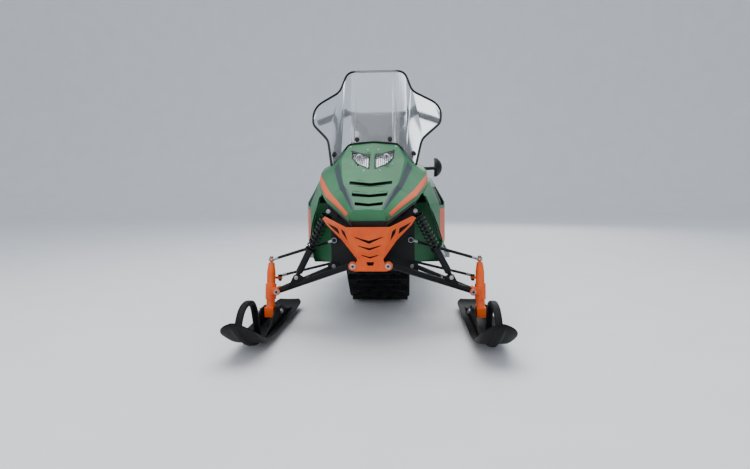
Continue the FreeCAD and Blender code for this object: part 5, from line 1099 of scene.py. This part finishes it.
# the light and dark stripes that the upright prisms of the bowl and the lens throw are painted into its
# colour as painted highlight and shade, drawn 9 mm apart instead of the real 6 mm so that they show
prism_light_bands = add(tree, "ShaderNodeTexWave", {"Vector": place, "Scale": BAND_SCALE, "Distortion": 0.6})
tone = add(tree, "ShaderNodeMapRange", {"Value": prism_light_bands.outputs["Fac"], "To Min": 0.04, "To Max": 0.80})
feed(shader, {"Base Color": tone, "Metallic": 0.55})
ring_chrome = mottled("satin_reflector_ring", "#C9CFD8", "#D6DBE2", 20, 1.0, 0.35, 0.0, 0.25)
# the dark grey-green strip along each lens's upper edge is painted shade: it stands for the shade that the
# hood's overhang casts on the lamp
brow_shade_strip = mottled("lamp_brow_painted_shade", "#26302F", "#303B3A", 30, 1.0, 0.55, 0.15, glint=0.25)
lamp_glass, tree, shader, place = new_finish("moulded_lamp_lens")
# clear polycarbonate with a hard coat, faintly milky from sun and grit
haze = add(tree, "ShaderNodeTexNoise", {"Vector": place, "Scale": 60.0})
veil = add(tree, "ShaderNodeMapRange", {"Value": haze, "To Min": 0.02, "To Max": 0.12})
feed(shader, {"Roughness": veil, "Base Color": linear("#FAFCFF"), "Transmission Weight": 0.97, "IOR": 1.15})
dark_glass = mottled("projector_glass", "#20262C", "#2C343C", 12, 2.0, 0.1, 0.0)
for side, word in SIDES:
    outline = [(side * x, z) for x, z in LAMP_OUTLINE]
    turning = outline if side > 0 else outline[::-1]
    seen = [(x, SEEN_FROM_Y, z) for x, z in inset(turning, 0.001)]
    bowl = laid_on(f"lamp_bowl_{word}", bed, seen, BACKWARD, bowl_depth, chrome, BOWL_STEP, True)
    bowl.data.shade_smooth()
    settle(bowl, "chassis")
    points, faces = lamp_frame(turning, FRAME_WIDTH, FRAME_FRONT, FRAME_BACK)
    frame_piece = new_piece(f"lamp_frame_{word}", points, faces, black_polymer)
    settle(frame_piece, "chassis")
    seen = [(x, SEEN_FROM_Y, z) for x, z in inset(turning, 0.003)]
    glass = laid_on(f"lamp_lens_{word}", bed, seen, BACKWARD, -LENS_DROP, lamp_glass, LENS_STEP, True)
    settle(walled(glass, LENS_THICK), "chassis")
    (ax, az), (bx, bz) = outline[:2]
    # the strip of painted shade under the hood's overhang, along the lens's upper edge
    brow = [(ax, az), (bx, bz), (bx - side * 0.002, bz - BROW_WIDTH), (ax, az - BROW_WIDTH)]
    seen = [(x, SEEN_FROM_Y, z) for x, z in brow]
    brow_strip = laid_on(f"lamp_brow_{word}", bed, seen, BACKWARD, FILM, brow_shade_strip, LENS_STEP, True)
    settle(walled(brow_strip, BROW_THICK), "chassis")
    centre = on_bed(side * PROJECTOR_X, PROJECTOR_Z, BOWL_DEPTH + DISH_DEPTH)
    ring = [(0.0, PROJECTOR_R), (0.011, PROJECTOR_R), (0.0135, PROJECTOR_R - 0.0035)]
    ring += [(0.0105, PROJECTOR_R - 0.0045), (0.004, DOME_R)]
    turned(f"projector_ring_{word}", "chassis", ring_chrome, [(ring, centre, FORWARD)], 32)
    dome = [(DOME_FOOT, DOME_R + 0.0002)]
    for angle in (20, 40, 60, 75, 88):
        turn = math.radians(angle)
        dome.append((DOME_FOOT + DOME_RISE * math.sin(turn), DOME_R * math.cos(turn)))
    turned(f"projector_glass_{word}", "chassis", dark_glass, [(dome, centre, FORWARD)], 32)
    if side > 0:
        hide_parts("headlamps")


# Windshield and mirror
# Clear 4 mm polycarbonate, bent warm over a form and greyed by fine scratches, with a rubber edging
# pressed over its rim. The mirror is a round glass in a moulded shell on one short arm.

MIRROR_FACE = (0.2905, -0.486, 0.769)
MIRROR_GLASS_R = 0.0415

clear_sheet, tree, shader, place = new_finish("scratched_polycarbonate")
haze = add(tree, "ShaderNodeTexNoise", {"Vector": place, "Scale": 9.0, "Detail": 5.0})
veil = add(tree, "ShaderNodeMapRange", {"Value": haze, "To Min": 0.04, "To Max": 0.14})
feed(shader, {"Roughness": veil, "Base Color": linear("#E8EEF4"), "IOR": 1.3, "Transmission Weight": 0.94})
refinish(clear_sheet, "windshield")
edge_rubber = mottled("extruded_edge_rubber", "#070708", "#101112", 25, 0.7, 0.6, 0.25, glint=0.2)
refinish(edge_rubber, "snow_flap", "grips")
refinish(black_polymer, "mirror")
# x, z and corner radius of the left half of the rim, as seen from the front
RIM = [
    (0.150, 1.272, 0.042), (0.188, 1.166, 0.055), (0.348, 1.104, 0.070), (0.338, 1.004, 0.055),
    (0.236, 0.908, 0.080), (0.199, 0.760, 0.0),
]
RIM_MIDDLE = Vector((0, 0.95))
RIM_BEAD_R = 0.0065
RIM_INSET = 0.0044
# where the sheet meets the hood's top edge
FOOT_LINE = [
    (-0.189, -0.604, 0.790), (-0.112, -0.611, 0.879), (0.0, -0.612, 0.889), (0.112, -0.611, 0.879),
    (0.189, -0.604, 0.790),
]
GASKET_R = 0.0048
POST_LONG = 0.034
POST_BACK = 0.036
SHEET_FOOT_X = 0.104
SHEET_FOOT_Z = 0.8835
# point on the sheet's middle, its normal there, and the radius of post and head
MOUNTS = [
    ((0.078, -0.5988, 0.9016), (0.0, -0.7986, 0.6018), 0.008, 0.011),
    ((0.188, -0.5750, 0.8336), (0.6428, -0.6118, 0.4610), 0.009, 0.0135),
]


def rounded(corners, steps=7):
    """An open line with arcs at its corners. Each corner is x, z and the radius that rounds it."""
    line = []
    for i, (x, z, radius) in enumerate(corners):
        at = Vector((x, z))
        if not radius or i in (0, len(corners) - 1):
            line.append(at)
            continue
        back = (Vector(corners[i - 1][:2]) - at).normalized()
        onward = (Vector(corners[i + 1][:2]) - at).normalized()
        half = back.angle(onward) / 2
        centre = at + (back + onward).normalized() * (radius / math.sin(half))
        first = at + back * (radius / math.tan(half)) - centre
        last = at + onward * (radius / math.tan(half)) - centre
        for step in range(steps + 1):
            line.append(centre + first.lerp(last, step / steps).normalized() * radius)
    return line


def seam_line(name, surface, path, lift, closed=False, pressed=True, step=0.008):
    """A line of short edges along a path, pressed to the nearest place on a surface."""
    spots = []
    count = len(path)
    for i in range(count if closed else count - 1):
        start, end = Vector(path[i]), Vector(path[(i + 1) % count])
        parts = max(1, round((end - start).length / step))
        spots += [start.lerp(end, k / parts) for k in range(parts)]
    if not closed:
        spots.append(Vector(path[-1]))
    points = []
    for spot in spots:
        at, normal, _, _ = surface.find_nearest(spot) if pressed else (spot, Vector((0, 0, 0)), 0, 0)
        points.append(at + normal * lift)
    for _ in range(3):
        eased = []
        for i, point in enumerate(points):
            fixed = not closed and i in (0, len(points) - 1)
            eased.append(point if fixed else (points[i - 1] + point * 2 + points[(i + 1) % len(points)]) / 4)
        points = eased
    edges = [(i, i + 1) for i in range(len(points) - 1)]
    if closed:
        edges.append((len(points) - 1, 0))
    mesh = bpy.data.meshes.new(name)
    mesh.from_pydata([tuple(p) for p in points], edges, [])
    return mesh


welt_tree, given = new_tree("seam_welt", ("Radius", "Float"))
run = add(welt_tree, "GeometryNodeMeshToCurve", {"Mesh": given["Geometry"]})
cord_round = add(
    welt_tree, "GeometryNodeCurvePrimitiveCircle", {"Resolution": 8, "Radius": given["Radius"]},
)
tube = add(
    welt_tree, "GeometryNodeCurveToMesh", {"Curve": run, "Profile Curve": cord_round, "Fill Caps": True},
)
smooth_tube = add(welt_tree, "GeometryNodeSetShadeSmooth", {"Geometry": tube})
end_tree(welt_tree, given, smooth_tube)
sheet_face = surface_of(nodes["windshield"])
# the moulded sheet ends at the gasket: nothing of it hangs down before the hood
shape = bmesh.new()
shape.from_mesh(nodes["windshield"].data)
bmesh.ops.remove_doubles(shape, verts=shape.verts[:], dist=0.00005)
for x in (-SHEET_FOOT_X, SHEET_FOOT_X):
    bmesh.ops.bisect_plane(
        shape, geom=shape.verts[:] + shape.edges[:] + shape.faces[:], plane_co=(x, 0, 0),
        plane_no=(1, 0, 0),
    )
middle = [f for f in shape.faces if abs(f.calc_center_median().x) < SHEET_FOOT_X]
# kept in the faces' order, so that each run gives the same sheet
part = list(dict.fromkeys([v for f in middle for v in f.verts] + [e for f in middle for e in f.edges]))
bmesh.ops.bisect_plane(
    shape, geom=part + middle, plane_co=(0, 0, SHEET_FOOT_Z), plane_no=UP, clear_inner=True,
)
bmesh.ops.holes_fill(shape, edges=[e for e in shape.edges if e.is_boundary])
bmesh.ops.recalc_face_normals(shape, faces=shape.faces[:])
sheet_piece = placed("clear_sheet", shape, clear_sheet)
smoothed(sheet_piece, 30)
settle(sheet_piece, "chassis")
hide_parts("windshield")
half_rim = rounded([(-RIM[0][0], RIM[0][1], 0)] + RIM)[1:]
half_rim = half_rim[:-1] + [half_rim[-2].lerp(half_rim[-1], part / 12) for part in range(1, 13)]
rim_points = []
for x, z in [(-x, z) for x, z in reversed(half_rim)] + half_rim:
    toward = RIM_MIDDLE - Vector((x, z))
    eased = Vector((x, z)) + toward.normalized() * 0.004
    at = sheet_face.ray_cast(Vector((eased.x, SEEN_FROM_Y, eased.y)), Vector(BACKWARD))[0]
    if at is not None:
        inward = toward.normalized() * RIM_INSET
        rim_points.append(Vector((x + inward.x, at.y, z + inward.y)))
bead = seam_line("rim_bead", sheet_face, rim_points, 0.0, False, False, 0.02)
bead_piece = grown(
    "rim_bead", welt_tree, "chassis", edge_rubber, {"Radius": RIM_BEAD_R}, bead,
)
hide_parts("windshield_trim")
foot = seam_line("hood_gasket", hood_skin, FOOT_LINE, 0.002)
grown("hood_gasket", welt_tree, "chassis", edge_rubber, {"Radius": GASKET_R}, foot)
posts = []
for at, normal, post_r, head_r in MOUNTS:
    for way in (1, -1):
        middle_at, facing = sided(at, way), sided(normal, way)
        posts.append(([(0.0, post_r), (POST_LONG, post_r)], middle_at - facing * POST_BACK, facing))
        head = [(0.0, head_r), (0.004, head_r), (0.006, head_r * 0.8)]
        posts.append((head, middle_at + facing * 0.002, facing))
turned("windshield_posts", "chassis", edge_rubber, posts)
mirror_glass = mottled("silvered_mirror", "#C6CCD2", "#D2D8DD", 80, 5.0, 0.09, 0.0, 1.0)
disc = [(0.0, MIRROR_GLASS_R), (0.0012, MIRROR_GLASS_R - 0.001)]
turned("mirror_glass", "chassis", mirror_glass, [(disc, MIRROR_FACE, (-1, 0, 0))], 48)


# Dash cover and tank
# Injection-moulded polypropylene, dyed black right through, with a leathery mould grain that keeps
# it dull. It scuffs to a dusty grey on its high edges.

dull_mould = mottled(
    "grained_polypropylene", "#0D0E10", "#181A1D", 60, 1.3, 0.55, 0.3, 0.0, "#33373B", 0.25,
)
softened("moulded_console", "console", "chassis", dull_mould, 0.006, 0.0012)
softened("moulded_tank", "fuel_tank", "chassis", dull_mould, 0.008, 0.0015)


# Handlebar, grips and controls
# A bent steel bar in black, ribbed rubber grips slipped over its ends, and moulded switch blocks
# clamped beside them with a lever on each.

GRIP_START = Vector((0.2074, -0.1049, 1.0735))
GRIP_END = Vector((0.3320, -0.0760, 1.0340))
GRIP_RIBS = 15
GRIP_R = 0.0172
RIB_R = 0.0013

refinish(black_steel, "handlebar")
refinish(black_polymer, "bar_controls")
ring_tree, given = new_tree("grip_ribs", ("Radius", "Float"), ("Thickness", "Float"))
hoop = add(ring_tree, "GeometryNodeCurvePrimitiveCircle", {"Resolution": 24, "Radius": given["Radius"]})
rib = add(ring_tree, "GeometryNodeCurvePrimitiveCircle", {"Resolution": 6, "Radius": given["Thickness"]})
rolled = add(ring_tree, "GeometryNodeCurveToMesh", {"Curve": hoop, "Profile Curve": rib})
end_on_points(ring_tree, given, rolled)
grip_run = GRIP_END - GRIP_START
shares = [0.06 + 0.88 * i / (GRIP_RIBS - 1) for i in range(GRIP_RIBS)]
ribs = [(GRIP_START + grip_run * share, grip_run.normalized()) for share in shares]
fastened(
    "grip_ribs", ring_tree, "handlebar", edge_rubber, both(ribs),
    {"Radius": GRIP_R, "Thickness": RIB_R},
)


# Seat, backrest and bar pad
# Moulded foam under stretched vinyl, sewn from panels with a welt in each seam and a row of stitches
# beside it. The backrest has brick-red side panels. The bar's pad is one piece of padded vinyl.

seat_vinyl, tree, shader, place = new_finish("grained_seat_vinyl")
# leather grain, darker in its creases, with a dry sheen. It is drawn 2.4 mm wide instead of about
# 1.5 mm so that it shows
hide = add(tree, "ShaderNodeTexVoronoi", {"Vector": place, "Scale": 420.0}, feature="SMOOTH_F1")
tone = add(
    tree, "ShaderNodeMix", {"Factor": hide, "A": linear("#202328"), "B": linear("#141518")},
    data_type="RGBA",
)
feed(shader, {"Base Color": tone})
pressed = add(tree, "ShaderNodeBump", {"Height": hide, "Strength": 0.35, "Distance": 0.0008})
feed(shader, {"Normal": pressed, "Roughness": 0.5, "Sheen Weight": 0.15})
refinish(seat_vinyl, "seat", "seat_back", "bar_pad")
red_vinyl = mottled("brick_red_vinyl", "#B5452C", "#C4553A", 40, 1.5, 0.48, 0.3)
thread_grey = mottled("polyester_thread", "#6A6E73", "#84888D", 6, 0.8, 0.7, 0.3)


def stuffed(name, node, voxel, inward, cap, keep_below, finish):
    """A soft piece from a CAD solid: shrunk, remeshed, blown up as cloth under pressure, and capped."""
    shape = bmesh.new()
    shape.from_mesh(nodes[node].data)
    bmesh.ops.remove_doubles(shape, verts=shape.verts[:], dist=0.0002)
    piece = placed(name, shape, finish)
    remesh = piece.modifiers.new("remesh", "REMESH")
    remesh.mode = "VOXEL"
    remesh.voxel_size = voxel
    apply_all(piece)
    normals = [v.normal.copy() for v in piece.data.vertices]
    for vert, normal in zip(piece.data.vertices, normals):
        vert.co -= normal * inward
    start = [v.co.copy() for v in piece.data.vertices]
    cloth = piece.modifiers.new("cloth", "CLOTH")
    cloth.settings.use_pressure = True
    cloth.settings.uniform_pressure_force = 4.0
    cloth.settings.effector_weights.gravity = 0.0
    for number in range(1, 21):
        bpy.context.scene.frame_set(number)
    apply_all(piece)
    bpy.context.scene.frame_set(1)
    for vert, first in zip(piece.data.vertices, start):
        move = vert.co - first
        if move.length > cap:
            move *= cap / move.length
        if first.z < keep_below:
            move *= 0.0
        vert.co = first + move
    smooth = piece.modifiers.new("smooth", "SUBSURF")
    smooth.levels = 1
    smooth.render_levels = 1
    apply_all(piece)
    piece.data.shade_smooth()
    return piece


stitch_tree, given = new_tree(
    "sewn_stitches", ("Pitch", "Float"), ("Thread radius", "Float"), ("Stitch length", "Float"),
)
run = add(stitch_tree, "GeometryNodeMeshToCurve", {"Mesh": given["Geometry"]})
marks = add(
    stitch_tree, "GeometryNodeCurveToPoints", {"Curve": run, "Length": given["Pitch"]}, mode="LENGTH",
)
strand = add(stitch_tree, "GeometryNodeMeshUVSphere", {"Segments": 6, "Rings": 6, "Radius": 1.0})
half = add(stitch_tree, "ShaderNodeMath", {0: given["Stitch length"], 1: 0.5}, operation="MULTIPLY")
slim = add(
    stitch_tree, "ShaderNodeCombineXYZ",
    {"X": given["Thread radius"], "Y": given["Thread radius"], "Z": half},
)
strand_sized = add(stitch_tree, "GeometryNodeTransform", {"Geometry": strand, "Scale": slim})
sewn = add(
    stitch_tree, "GeometryNodeInstanceOnPoints",
    {"Points": marks, "Instance": strand_sized, "Rotation": marks.outputs["Rotation"]},
)
end_tree(stitch_tree, given, sewn)

# name, node, body, voxel, inward, cap, height below which it stays flat, fill
covers = {}
for name, node, body, voxel, inward, cap, flat, fill in (
    ("seat_cushion", "seat", "chassis", 0.007, 0.006, 0.014, 0.50, 0.8),
    ("back_cushion", "seat_back", "chassis", 0.005, 0.006, 0.012, 0.0, 0.8),
    ("bar_cover", "bar_pad", "handlebar", 0.005, 0.005, 0.010, 0.0, 0.7),
):
    cushion = stuffed(name, node, voxel, inward, cap, flat, seat_vinyl)
    covers[name] = surface_of(cushion)
    settle(cushion, body)
    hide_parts(node)

# y, half width and height of the seat's top edge
SEAT_TOP = [
    (0.156, 0.094, 0.688), (0.260, 0.110, 0.700), (0.560, 0.124, 0.706), (0.640, 0.126, 0.738),
    (0.884, 0.120, 0.750),
]
# y, z, half width and inner x of the seams across the seat
CROSS_SEAMS = [(0.592, 0.735, 0.126, 0.06), (0.400, 0.720, 0.117, 0.06), (0.255, 0.715, 0.108, 0.05)]
# x, z
BACK_FRONT = [
    (0.160, 0.840), (0.176, 0.985), (0.148, 1.082), (-0.148, 1.082), (-0.176, 0.985), (-0.160, 0.840),
]
BACK_MIDDLE_Z = 0.96
BACK_FACE_Y = 0.88
WELT_R = 0.0026
STITCH_OFFSET = 0.009
BACK_SEEN_X = 0.5
seat_paths = [[(side * (x + 0.004), y, z) for y, x, z in SEAT_TOP] for side in (1, -1)]
for y, z, half, inner in CROSS_SEAMS:
    seat_paths.append([(x, y, z) for x in (-half, -inner, 0.0, inner, half)])
back_path = [(x, BACK_FACE_Y, z) for x, z in BACK_FRONT]
stitches = {"Pitch": 0.0065, "Thread radius": 0.0007, "Stitch length": 0.0048}
for i, path in enumerate(seat_paths):
    welt = seam_line(f"seat_welt_{i}", covers["seat_cushion"], path, 0.0004)
    grown(f"seat_welt_{i}", welt_tree, "chassis", seat_vinyl, {"Radius": WELT_R}, welt)
    if i < 2:
        beside = [(x - math.copysign(STITCH_OFFSET, x), y, z + 0.01) for x, y, z in path]
    else:
        beside = [(x, y - STITCH_OFFSET, z) for x, y, z in path]
    row = seam_line(f"seat_stitches_{i}", covers["seat_cushion"], beside, 0.0005)
    grown(f"seat_stitches_{i}", stitch_tree, "chassis", thread_grey, stitches, row)
welt = seam_line("back_welt", covers["back_cushion"], back_path, 0.0004, True)
grown("back_welt", welt_tree, "chassis", seat_vinyl, {"Radius": WELT_R}, welt)
inner_path = [(x * 0.95, BACK_FACE_Y, BACK_MIDDLE_Z + (z - BACK_MIDDLE_Z) * 0.93) for x, z in BACK_FRONT]
row = seam_line("back_stitches", covers["back_cushion"], inner_path, 0.0005, True)
grown("back_stitches", stitch_tree, "chassis", thread_grey, stitches, row)
# y, z
BACK_SIDE = [(0.896, 0.860), (0.936, 0.860), (0.936, 1.070), (0.896, 1.070)]
for side, word in SIDES:
    seen = [(side * BACK_SEEN_X, y, z) for y, z in BACK_SIDE]
    edge = laid_on(
        f"back_side_{word}", covers["back_cushion"], seen, (-side, 0, 0), 0.0008, red_vinyl, 0.006,
    )
    settle(edge, "chassis")


# Rear end
# A bent tube grab rail and a plate tongue with its hanger, both in black powder coat, a red moulded
# lamp, and a rubber flap that hangs behind the track.

refinish(black_steel, "back_frame", "rear_bumper", "hitch")
tail_glass, tree, shader, place = new_finish("moulded_red_lens")
# dyed acrylic with upright prisms of 5 mm on its inner side
prism_light_bands = add(tree, "ShaderNodeTexWave", {"Vector": place, "Scale": 60.0})
relief = add(tree, "ShaderNodeBump", {"Height": prism_light_bands.outputs["Fac"], "Strength": 0.4, "Distance": 0.001})
feed(shader, {"Normal": relief})
# the red is painted lighter and darker along the prisms: painted highlight and shade of the light that the
# prisms throw
shade = add(
    tree, "ShaderNodeMix", {"Factor": prism_light_bands.outputs["Fac"], "A": linear("#7E0B0C"), "B": linear("#A31314")},
    data_type="RGBA",
)
feed(shader, {"Base Color": shade, "Roughness": 0.12, "Coat Weight": 0.6})
refinish(tail_glass, "tail_lamp")
